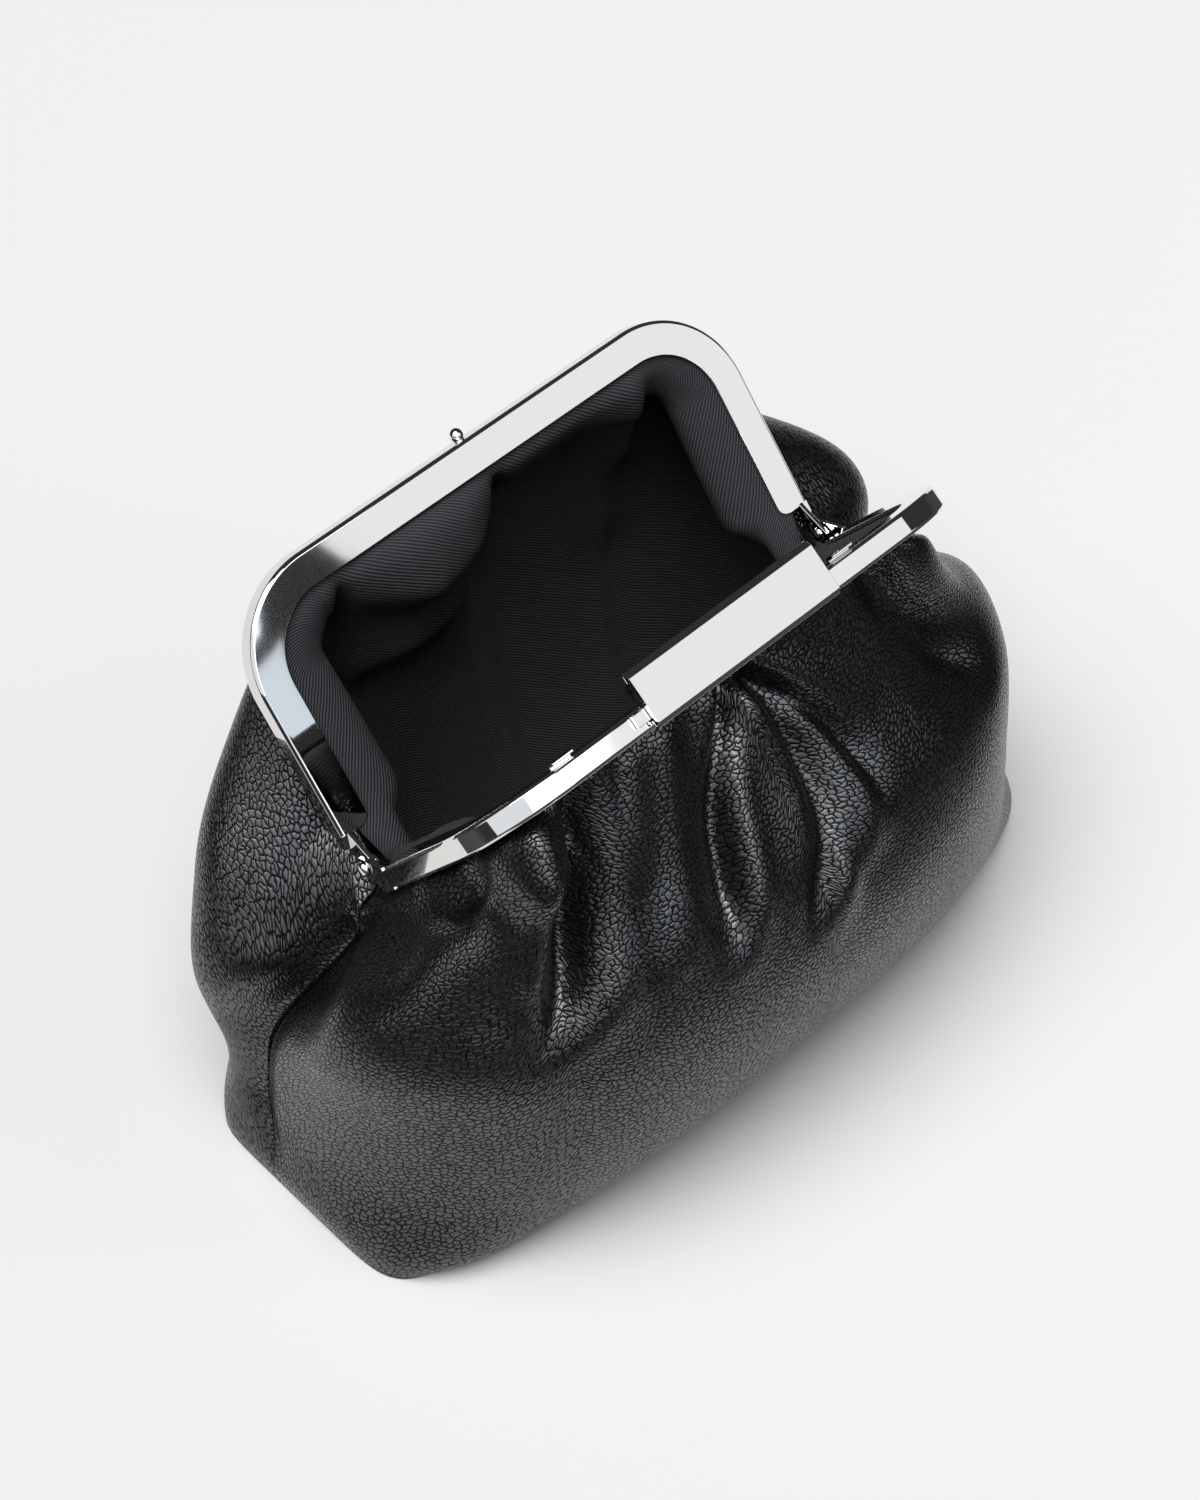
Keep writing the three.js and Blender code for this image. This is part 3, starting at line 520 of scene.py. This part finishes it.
# Side folds: how far each one's valley reaches into the panels, the pinch at its seam and the rows between
# which the pinch grows and ends, and how far the seam drifts back below the hinge
FRONT["valley"] = 12
BACK["valley"] = 19
SEAM_PINCH = 3
SEAM_PINCH_WIDTH = 4.5
SEAM_PINCH_ROWS = (3, 4)
SEAM_PINCH_END_ROWS = (8, 7)
SEAM_DRIFT = 10
SEAM_DRIFT_HEIGHTS = (84, 46)
SEAM_DRIFT_WIDTH = 24
SEAM_DRIFT_END = (4, 26)
SHORTEST_SPAN = 1e-2
SHORTEST_NORMAL = 1e-9


def eased(value, start, end):
    """A smooth step from 0 at start to 1 at end."""
    share = np.clip((value - start) / (end - start), 0, 1)
    return share * share * (3 - 2 * share)


def exit_points(jaw, step, shares):
    """One step of a panel's way out of the channel, from the left seam to the right seam."""
    leg_inset, leg_across, top_inset, top_across, seam_x, seam_z = step
    from_seam = np.minimum(shares, 1 - shares) * MOUTH_LENGTH
    held = np.maximum(from_seam - SEAM_RUN, 0) + LEG_HOLD_START
    x, s, in_x, in_s = jaw_edge(np.where(shares < 0.5, held, JAW_LENGTH - held))
    leg = np.abs(in_x)
    inset = top_inset + (leg_inset - top_inset) * leg
    across = jaw["set"] + top_across + (leg_across - top_across) * leg
    point = jaw_place(jaw, x + inset * in_x, s + inset * in_s, across)
    seam = np.stack([
        np.where(shares < 0.5, -seam_x, seam_x), np.full_like(shares, HINGE_Y), np.full_like(shares, seam_z),
    ], axis=-1)
    share = np.minimum(from_seam / SEAM_RUN, 1)[:, None]
    return seam + (point - seam) * share


def ring_points(jaw, ring, shares):
    """A ring of the panel at its shares of the way from the left seam to the right seam."""
    half_width, front, front_square, back, back_square, seam_inset, seam_z, front_z, back_z = ring
    depth, square, middle_z = (front, front_square, front_z) if jaw is FRONT else (back, back_square, back_z)
    angle = np.linspace(0, math.pi / 2, RING_STEPS)
    table_x = half_width * np.clip(np.cos(angle), 0, 1) ** (2 / square)
    table_y = depth * np.sin(angle) ** (2 / square)
    table_length = np.concatenate([[0], np.cumsum(np.hypot(np.diff(table_x), np.diff(table_y)))])
    length = np.minimum(shares, 1 - shares) * 2 * table_length[-1]
    valley = seam_inset * np.exp(-(length / jaw["valley"]) ** 2)
    x = np.interp(length, table_length, table_x) - valley
    y = HINGE_Y + jaw["side"] * np.interp(length, table_length, table_y)
    z = seam_z + (middle_z - seam_z) * np.sin(math.pi * shares)
    return np.stack([np.where(shares < 0.5, -x, x), y, z], axis=-1)


def along_lines(steps, rows):
    """Places on smooth lines through the steps of each column, at row numbers that count the steps."""
    steps = np.concatenate([[2 * steps[0] - steps[1]], steps, [2 * steps[-1] - steps[-2]]])
    last = len(steps) - 4
    spans = np.sqrt(np.linalg.norm(np.diff(steps, axis=0), axis=2, keepdims=True))
    spans = np.maximum(spans, SHORTEST_SPAN)
    placed = []
    for row in rows:
        first = min(int(row), last)
        share = row - first
        p0, p1, p2, p3 = steps[first:first + 4]
        d0, d1, d2 = spans[first:first + 3]
        leave = d1 * ((p1 - p0) / d0 - (p2 - p0) / (d0 + d1) + (p2 - p1) / d1)
        reach = d1 * ((p2 - p1) / d1 - (p3 - p1) / (d1 + d2) + (p3 - p2) / d2)
        square_part = -3 * p1 + 3 * p2 - 2 * leave - reach
        cube_part = 2 * p1 - 2 * p2 + leave + reach
        placed.append(p1 + leave * share + square_part * share ** 2 + cube_part * share ** 3)
    return np.array(placed)


def lump_push(lumps, places, rows, grown):
    """How far the rolls and hollows push each place out of its panel, growing from one row to another."""
    push = np.zeros(places.shape[:-1])
    for *centre, radius, out in lumps:
        push += out * np.exp(-np.sum((places - np.array(centre)) ** 2, axis=-1) / radius ** 2)
    return push * eased(np.asarray(rows), *grown)[:, None]


def gather_push(folds, places, rows, grown):
    """How far the gathers push each place out of its panel, growing from one row to another."""
    x, z = places[..., 0], places[..., 2]
    push = np.zeros_like(x)
    for top, middle, bottom, foot, left, right, out in folds:
        along = np.clip((FOLD_TOP - z) / (FOLD_TOP - foot), 0, 1)
        path = (1 - along) ** 2 * top + 2 * along * (1 - along) * middle + along ** 2 * bottom
        aside = x - path
        breadth = FOLD_TIGHT + (1 - FOLD_TIGHT) * along
        across = np.abs(aside) / np.where(aside < 0, left, right) / breadth
        shape = np.exp(-across ** (2 if out > 0 else FOLD_CREASE))
        push += out * shape * eased(z, foot, foot + FOLD_FADE)
    facing = 1 - eased(np.abs(x), *FOLD_REACH)
    return push * facing * eased(np.asarray(rows), *grown)[:, None]


def outward(points, side):
    """The outward direction of a grid of points at each of them, level at the side seams."""
    out = side * np.cross(np.gradient(points, axis=1), np.gradient(points, axis=0))
    out[:, [0, -1], 1] = 0
    return out / np.maximum(np.linalg.norm(out, axis=2, keepdims=True), SHORTEST_NORMAL)


def drifted(places, shares):
    """The side folds, which drift back below the hinges."""
    near = np.exp(-(np.minimum(shares, 1 - shares) * MOUTH_LENGTH / SEAM_DRIFT_WIDTH) ** 2)
    shift = np.zeros_like(places)
    z = places[..., 2]
    shift[..., 1] = SEAM_DRIFT * eased(z, *SEAM_DRIFT_HEIGHTS) * eased(z, *SEAM_DRIFT_END) * near
    return places + shift


def grid_faces(rows, columns, flipped):
    """Quads of a grid of points, turned over for a panel on the other side."""
    faces = []
    for row in range(rows - 1):
        for column in range(columns - 1):
            a = row * columns + column
            quad = (a, a + columns, a + columns + 1, a + 1)
            faces.append(quad[::-1] if flipped else quad)
    return faces


def lengths_along(points):
    """Lengths in millimetres along the rows, from the middle column, and down the columns of a grid."""
    across = np.cumsum(np.linalg.norm(np.diff(points, axis=1, prepend=points[:, :1]), axis=2), axis=1)
    across -= across[:, [points.shape[1] // 2]]
    across = np.broadcast_to(across.mean(axis=0), across.shape)
    down = np.cumsum(np.linalg.norm(np.diff(points, axis=0, prepend=points[:1]), axis=2), axis=0)
    return across, down


def sheet_piece(name, points, faces, across, down, material, thickness):
    """A sheet of leather or cloth with its thickness on the inside, and its lengths as a map."""
    mesh = bpy.data.meshes.new(name)
    mesh.from_pydata((points * MM).tolist(), [], faces)
    cut = mesh.uv_layers.new(name="cut")
    corner_point = np.empty(len(mesh.loops), int)
    mesh.loops.foreach_get("vertex_index", corner_point)
    flat = np.stack([across.ravel(), down.ravel()], axis=-1)[corner_point]
    cut.data.foreach_set("uv", flat.ravel())
    mesh.shade_smooth()
    mesh.materials.append(material)
    piece = bpy.data.objects.new(name, mesh)
    bpy.context.scene.collection.objects.link(piece)
    body = piece.modifiers.new("thickness", "SOLIDIFY")
    body.thickness = thickness * MM
    body.offset = -1
    body.use_rim = True
    return piece


def leather_points(jaw):
    """The panel's outer face from the jaw down to the base and in to the base seam."""
    shares = np.linspace(0, 1, PANEL_COLUMNS + 1)
    steps = [exit_points(jaw, step, shares) for step in LEATHER_EXIT]
    steps += [ring_points(jaw, ring, shares) for ring in RINGS]
    rows = np.concatenate([
        np.linspace(0, len(LEATHER_EXIT) - 1, EXIT_ROWS, endpoint=False),
        np.linspace(len(LEATHER_EXIT) - 1, len(steps) - 1, BODY_ROWS),
    ])
    places = along_lines(np.array(steps), rows)
    push = gather_push(jaw["folds"], places, rows, GATHER_ROWS)
    push += lump_push(jaw["lumps"], places, rows, GATHER_ROWS)
    places = drifted(places + push[..., None] * outward(places, jaw["side"]), shares)
    row_length = np.cumsum(np.linalg.norm(np.diff(places, axis=1, prepend=places[:, :1]), axis=2), axis=1)
    from_seam = np.minimum(row_length, row_length[:, -1:] - row_length)
    pinch = SEAM_PINCH * np.exp(-(from_seam / SEAM_PINCH_WIDTH) ** 2)
    pinch *= eased(rows, *SEAM_PINCH_ROWS)[:, None] * eased(rows, *SEAM_PINCH_END_ROWS)[:, None]
    places[..., 0] -= np.sign(places[..., 0]) * pinch
    foot = places[-1]
    seam_y = np.interp(shares, [0, 1], [foot[0, 1], foot[-1, 1]])
    base = []
    for share in np.linspace(0, 1, BASE_ROWS + 1)[1:]:
        row = foot.copy()
        row[:, 1] = foot[:, 1] + (seam_y - foot[:, 1]) * share
        base.append(row)
    places = np.concatenate([places, np.array(base)])
    places[..., 1] += jaw["side"] * SEAM_GAP / 2
    return places


# Leather finish: near-black, with pebbles of two by one and a half millimetres that shine on their crowns.
# The valleys between the pebbles carry painted shade: their colour is darker and their shine lower than on
# the crowns.
LEATHER_COLOUR_AND_VALLEY_SHADE = ((0.001, 0.001, 0.0012, 1), (0.003, 0.003, 0.0034, 1))
PEBBLE_LENGTH = 2
PEBBLE_BREADTH = 1.5
PEBBLE_WARP_SCALE = 1.1
PEBBLE_WARP_DETAIL = 2
PEBBLE_WARP = 0.9
PEBBLE_WALL = (-0.03, 0.2)
PEBBLE_DOME = 2
PEBBLE_HEIGHT = 0.00007
PORE_SCALE = 7
PORE_DETAIL = 2
PORE_SHARE = 0.06
LEATHER_ROUGHNESS = (0.38, 0.23)
LEATHER_IOR = 1.75
LEATHER_TINT = (1, 0.98, 0.95, 1)
LEATHER_SHINE_AND_VALLEY_SHADE = (0.05, 0.6)
SHINE_START = 0.4
leather, tree, shader = new_material("pebbled_leather")
cut = tree.nodes.new("ShaderNodeUVMap")
cut.uv_map = "cut"
stretched = add_node(tree, "ShaderNodeMapping", Scale=(1 / PEBBLE_LENGTH, 1 / PEBBLE_BREADTH, 1))
tree.links.new(cut.outputs["UV"], stretched.inputs["Vector"])
place = stretched.outputs["Vector"]
warp = add_node(tree, "ShaderNodeTexNoise", Scale=PEBBLE_WARP_SCALE, Detail=PEBBLE_WARP_DETAIL)
tree.links.new(place, warp.inputs["Vector"])
centred = tree.nodes.new("ShaderNodeVectorMath")
centred.operation = "SUBTRACT"
centred.inputs[1].default_value = (0.5, 0.5, 0.5)
tree.links.new(warp.outputs["Color"], centred.inputs[0])
shifted = tree.nodes.new("ShaderNodeVectorMath")
shifted.operation = "MULTIPLY_ADD"
shifted.inputs[1].default_value = (PEBBLE_WARP, PEBBLE_WARP, PEBBLE_WARP)
tree.links.new(centred.outputs["Vector"], shifted.inputs[0])
tree.links.new(place, shifted.inputs[2])
pebbles = add_node(tree, "ShaderNodeTexVoronoi", Scale=1.0)
pebbles.voronoi_dimensions = "2D"
pebbles.feature = "DISTANCE_TO_EDGE"
tree.links.new(shifted.outputs["Vector"], pebbles.inputs["Vector"])
crown = add_node(tree, "ShaderNodeMapRange", From_Min=PEBBLE_WALL[0], From_Max=PEBBLE_WALL[1])
crown.interpolation_type = "SMOOTHSTEP"
tree.links.new(pebbles.outputs["Distance"], crown.inputs["Value"])
domed = tree.nodes.new("ShaderNodeMath")
domed.operation = "MULTIPLY_ADD"
domed.inputs[1].default_value = PEBBLE_DOME
tree.links.new(pebbles.outputs["Distance"], domed.inputs[0])
tree.links.new(crown.outputs["Result"], domed.inputs[2])
pores = add_node(tree, "ShaderNodeTexNoise", Scale=PORE_SCALE, Detail=PORE_DETAIL)
tree.links.new(place, pores.inputs["Vector"])
grain = tree.nodes.new("ShaderNodeMath")
grain.operation = "MULTIPLY_ADD"
grain.inputs[1].default_value = PORE_SHARE
tree.links.new(pores.outputs["Fac"], grain.inputs[0])
tree.links.new(domed.outputs["Value"], grain.inputs[2])
relief = add_node(tree, "ShaderNodeBump", Strength=1.0, Distance=PEBBLE_HEIGHT)
tree.links.new(grain.outputs["Value"], relief.inputs["Height"])
tree.links.new(relief.outputs["Normal"], shader.inputs["Normal"])
# Painted shade: the colour darkens from the pebbles' crowns down into the valleys between them.
valley_shaded_tone = add_node(tree, "ShaderNodeValToRGB")
valley_shaded_tone.color_ramp.elements[0].color, valley_shaded_tone.color_ramp.elements[1].color = LEATHER_COLOUR_AND_VALLEY_SHADE
tree.links.new(crown.outputs["Result"], valley_shaded_tone.inputs["Fac"])
tree.links.new(valley_shaded_tone.outputs["Color"], shader.inputs["Base Color"])
polish = add_node(tree, "ShaderNodeMapRange", To_Min=LEATHER_ROUGHNESS[0], To_Max=LEATHER_ROUGHNESS[1])
tree.links.new(crown.outputs["Result"], polish.inputs["Value"])
tree.links.new(polish.outputs["Result"], shader.inputs["Roughness"])
shader.inputs["IOR"].default_value = LEATHER_IOR
shader.inputs["Specular Tint"].default_value = LEATHER_TINT
# The shine is highest on the pebbles' crowns, and its drop into the valleys between them is painted shade.
shine = add_node(
    tree, "ShaderNodeMapRange", From_Min=SHINE_START, To_Min=LEATHER_SHINE_AND_VALLEY_SHADE[0], To_Max=LEATHER_SHINE_AND_VALLEY_SHADE[1],
)
tree.links.new(crown.outputs["Result"], shine.inputs["Value"])
tree.links.new(shine.outputs["Result"], shader.inputs["Specular IOR Level"])

FRONT["cut"] = (0.35, 0.21)
BACK["cut"] = (0.33, 0.18)
for name, jaw, node in (("front_leather", FRONT, "front_panel"), ("back_leather", BACK, "back_panel")):
    points = leather_points(jaw)
    across, down = lengths_along(points)
    faces = grid_faces(*points.shape[:2], flipped=jaw is BACK)
    piece = sheet_piece(name, points.reshape(-1, 3), faces, across, down, leather, LEATHER)
    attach(piece, "bag")
    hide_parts(node)

# Lining: a bag of charcoal cotton twill, sewn at the sides and glued with the leather into the channels.
# It hangs a little inside the leather, follows its valleys, and bunches in soft rolls under the back jaw.
LINING = 1
LINING_GAP = 2
LINING_FLOOR = 1.8
LINING_COLUMNS = 200
LINING_EXIT_ROWS = 18
LINING_BODY_ROWS = 60
LINING_BASE_ROWS = 8
SEWN_WITHIN = 1e-6
LINING_EXIT = [
    (4.5, 2.3, 4.5, 2.3, 76.4, 102),
    (9.9, 2.3, 9.9, 2.3, 73, 104.5),
    (15, 3.2, 13, 3, 70, 100),
    (19, 7.5, 16, 8, 83, 88),
    (17, 15, 18, 14, 87, 86),
]
LINING_GATHER_ROWS = (1, 3.5)
# The lining's own pleats under the back jaw, in the same columns as the leather's gathers
LINING_PLEATS = [
    (-50, -46, -48, 84, 4, 4, 5),
    (-24, -23, -24, 84, 26, 24, -15),
    (4, 11, 8, 82, 4, 5, 6),
    (53, 57, 60, 100, 5, 6, -4),
]


def lining_points(jaw):
    """One half of the lining from its jaw down to the floor's edge."""
    shares = np.linspace(0, 1, LINING_COLUMNS + 1)
    leather_rings = np.array([ring_points(jaw, ring, shares) for ring in RINGS])
    rings = leather_rings - (LEATHER + LINING_GAP) * outward(leather_rings, jaw["side"])
    rings[-1] = leather_rings[-1]
    rings[-1, :, 0] *= 1 - (LEATHER + LINING_GAP) / RINGS[-1][0]
    rings[-1, :, 1] -= jaw["side"] * (LEATHER + LINING_GAP) * np.sin(math.pi * shares)
    rings[-1, :, 2] = LINING_FLOOR
    steps = np.concatenate([[exit_points(jaw, step, shares) for step in LINING_EXIT], rings])
    rows = np.concatenate([
        np.linspace(0, len(LINING_EXIT) - 1, LINING_EXIT_ROWS, endpoint=False),
        np.linspace(len(LINING_EXIT) - 1, len(steps) - 1, LINING_BODY_ROWS),
    ])
    places = along_lines(steps, rows)
    push = gather_push(jaw["folds"], places, rows, LINING_GATHER_ROWS)
    push += lump_push(jaw["lumps"], places, rows, LINING_GATHER_ROWS)
    push = np.minimum(push, 0)
    if jaw is BACK:
        push += gather_push(LINING_PLEATS, places, rows, LINING_GATHER_ROWS)
    return drifted(places + push[..., None] * outward(places, jaw["side"]), shares)


# Twill: slanting wales under a lighter ribbing of threads. A wave texture of scale 1 repeats at WAVE_PITCH.
LINING_COLOUR = ((0.009, 0.0095, 0.011, 1), (0.075, 0.078, 0.086, 1))
WAVE_PITCH = math.pi / 10
WAVE_DETAIL = 1
TWILL_PITCH = 0.85
TWILL_SLANT = math.radians(52)
TWILL_WANDER = 0.6
THREAD_PITCH = 0.42
THREAD_WANDER = 0.8
THREAD_SHARE = 0.35
TWILL_HEIGHT = 0.00022
LINING_ROUGHNESS = 0.9
LINING_SHINE = 0.2
twill, tree, shader = new_material("charcoal_twill")
cut = tree.nodes.new("ShaderNodeUVMap")
cut.uv_map = "cut"
slanted = add_node(tree, "ShaderNodeMapping", Rotation=(0, 0, TWILL_SLANT))
tree.links.new(cut.outputs["UV"], slanted.inputs["Vector"])
wales = add_node(
    tree, "ShaderNodeTexWave", Scale=WAVE_PITCH / TWILL_PITCH, Distortion=TWILL_WANDER, Detail=WAVE_DETAIL,
)
tree.links.new(slanted.outputs["Vector"], wales.inputs["Vector"])
threads = add_node(
    tree, "ShaderNodeTexWave", Scale=WAVE_PITCH / THREAD_PITCH, Distortion=THREAD_WANDER, Detail=WAVE_DETAIL,
)
threads.bands_direction = "Y"
tree.links.new(cut.outputs["UV"], threads.inputs["Vector"])
weave = tree.nodes.new("ShaderNodeMath")
weave.operation = "MULTIPLY_ADD"
weave.inputs[1].default_value = THREAD_SHARE
tree.links.new(threads.outputs["Fac"], weave.inputs[0])
tree.links.new(wales.outputs["Fac"], weave.inputs[2])
raised = add_node(tree, "ShaderNodeBump", Strength=1.0, Distance=TWILL_HEIGHT)
tree.links.new(weave.outputs["Value"], raised.inputs["Height"])
tree.links.new(raised.outputs["Normal"], shader.inputs["Normal"])
yarn = add_node(tree, "ShaderNodeValToRGB")
yarn.color_ramp.elements[0].color, yarn.color_ramp.elements[1].color = LINING_COLOUR
tree.links.new(weave.outputs["Value"], yarn.inputs["Fac"])
tree.links.new(yarn.outputs["Color"], shader.inputs["Base Color"])
shader.inputs["Roughness"].default_value = LINING_ROUGHNESS
shader.inputs["Specular IOR Level"].default_value = LINING_SHINE

front_half, back_half = lining_points(FRONT), lining_points(BACK)
seam_x = (front_half[-1, :, 0] + back_half[-1, :, 0]) / 2
seam_y = np.full_like(seam_x, (front_half[-1, 0, 1] + back_half[-1, 0, 1]) / 2)
middle_seam = np.stack([seam_x, seam_y, np.full_like(seam_x, LINING_FLOOR)], axis=-1)
lining_vertices, lining_faces, lining_across, lining_down = [], [], [], []
for half, flipped in ((front_half, False), (back_half, True)):
    floor_rows = [half[-1] + (middle_seam - half[-1]) * share
                  for share in np.linspace(0, 1, LINING_BASE_ROWS + 1)[1:]]
    whole = np.concatenate([half, np.array(floor_rows)])
    first = sum(len(done) for done in lining_vertices)
    faces = grid_faces(*whole.shape[:2], flipped=flipped)
    lining_faces += [tuple(first + corner for corner in face) for face in faces]
    across, down = lengths_along(whole)
    lining_vertices.append(whole.reshape(-1, 3))
    lining_across.append(across.ravel())
    lining_down.append(down.ravel())
lining = sheet_piece(
    "twill_lining", np.concatenate(lining_vertices), lining_faces,
    np.concatenate(lining_across), np.concatenate(lining_down), twill, LINING,
)
sewn = bmesh.new()
sewn.from_mesh(lining.data)
bmesh.ops.remove_doubles(sewn, verts=sewn.verts, dist=SEWN_WITHIN)
sewn.to_mesh(lining.data)
sewn.free()
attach(lining, "bag")
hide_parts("lining")

# Floor and light: a pale sheet of paper on a dark table, under one soft light from above. The table's
# darkness is painted shade for the unlit studio floor beyond the pool of light.
# Two scrims at the front and one at the left light the leather and the metal, and the frame mirrors
# a white card at the right.
PAPER_CORNERS = [(-560, 190), (-14, -247), (907, 539), (120, 1250)]
PAPER_DROP = 0.3
PAPER_COLOUR = (0.86, 0.86, 0.86, 1)
# The dark table is painted shade: it lies where the studio floor falls out of the light, and the paper ends
# just outside the camera's view.
TABLE_SIZE = 12000
TABLE_DROP = 1.3
TABLE_SHADE_COLOUR = (0.04, 0.04, 0.04, 1)
GROUND_ROUGHNESS = 0.9
GROUND_SHINE = 0.1
reach = TABLE_SIZE / 2
table_corners = [(-reach, -reach), (reach, -reach), (reach, reach), (-reach, reach)]
for name, corners, drop, colour in (
    ("pale_paper", PAPER_CORNERS, PAPER_DROP, PAPER_COLOUR),
    ("shade_painted_table", table_corners, TABLE_DROP, TABLE_SHADE_COLOUR),
):
    surface = bpy.data.meshes.new(name)
    surface.from_pydata([(x * MM, y * MM, -drop * MM) for x, y in corners], [], [(0, 1, 2, 3)])
    finish, tree, shader = new_material(name)
    shader.inputs["Base Color"].default_value = colour
    shader.inputs["Roughness"].default_value = GROUND_ROUGHNESS
    shader.inputs["Specular IOR Level"].default_value = GROUND_SHINE
    surface.materials.append(finish)
    ground = bpy.data.objects.new(name, surface)
    bpy.context.scene.collection.objects.link(ground)
paper = bpy.data.objects["pale_paper"]

KEY_FROM = Vector((-0.28, -0.06, 1))
KEY_STRENGTH = 3.12
KEY_ANGLE = math.radians(54)
key_lamp = bpy.data.lights.new("soft_key", "SUN")
key_lamp.energy = KEY_STRENGTH
key_lamp.angle = KEY_ANGLE
key = bpy.data.objects.new("soft_key", key_lamp)
key.rotation_euler = KEY_FROM.to_track_quat("Z", "Y").to_euler()
bpy.context.scene.collection.objects.link(key)

# The scrims are flagged off the lining and the paper. Turns and rises about the bag are in degrees.
flagged = bpy.data.collections.new("flagged_from_the_scrims")
for index, thing in enumerate((lining, paper)):
    flagged.objects.link(thing)
    flagged.collection_objects[index].light_linking.link_state = "EXCLUDE"
PANELS = {
    "scrim": {"turn": -6.5, "rise": 52, "size": (1.53, 1.05), "power": 10.5, "colour": (0.8, 0.89, 1)},
    "low_scrim": {"turn": -6.5, "rise": 23, "size": (1.53, 0.58), "power": 2.6, "colour": (0.8, 0.89, 1)},
    "left_scrim": {"turn": -70, "rise": 40, "size": (2.6, 1.6), "power": 12, "colour": (0.9, 0.94, 1)},
    "white_card": {"turn": 39.5, "rise": 33, "size": (0.68, 1.15), "power": 2.4, "colour": (0.98, 0.99, 1)},
}
PANEL_DISTANCE = 1.6
for name, panel in PANELS.items():
    lamp = bpy.data.lights.new(name, "AREA")
    lamp.shape = "RECTANGLE"
    lamp.size, lamp.size_y = panel["size"]
    lamp.energy = panel["power"]
    lamp.color = panel["colour"]
    light = bpy.data.objects.new(name, lamp)
    turn, rise = math.radians(panel["turn"]), math.radians(panel["rise"])
    towards = Vector((math.sin(turn) * math.cos(rise), -math.cos(turn) * math.cos(rise), math.sin(rise)))
    light.location = towards * PANEL_DISTANCE
    light.rotation_euler = towards.to_track_quat("Z", "Y").to_euler()
    if name != "white_card":
        light.light_linking.receiver_collection = flagged
    bpy.context.scene.collection.objects.link(light)

ROOM_LIGHT = (0.035, 0.035, 0.036, 1)
room = bpy.data.worlds.new("studio")
room.use_nodes = True
room.node_tree.nodes["Background"].inputs["Color"].default_value = ROOM_LIGHT
bpy.context.scene.world = room
bpy.context.scene.view_settings.view_transform = "Standard"
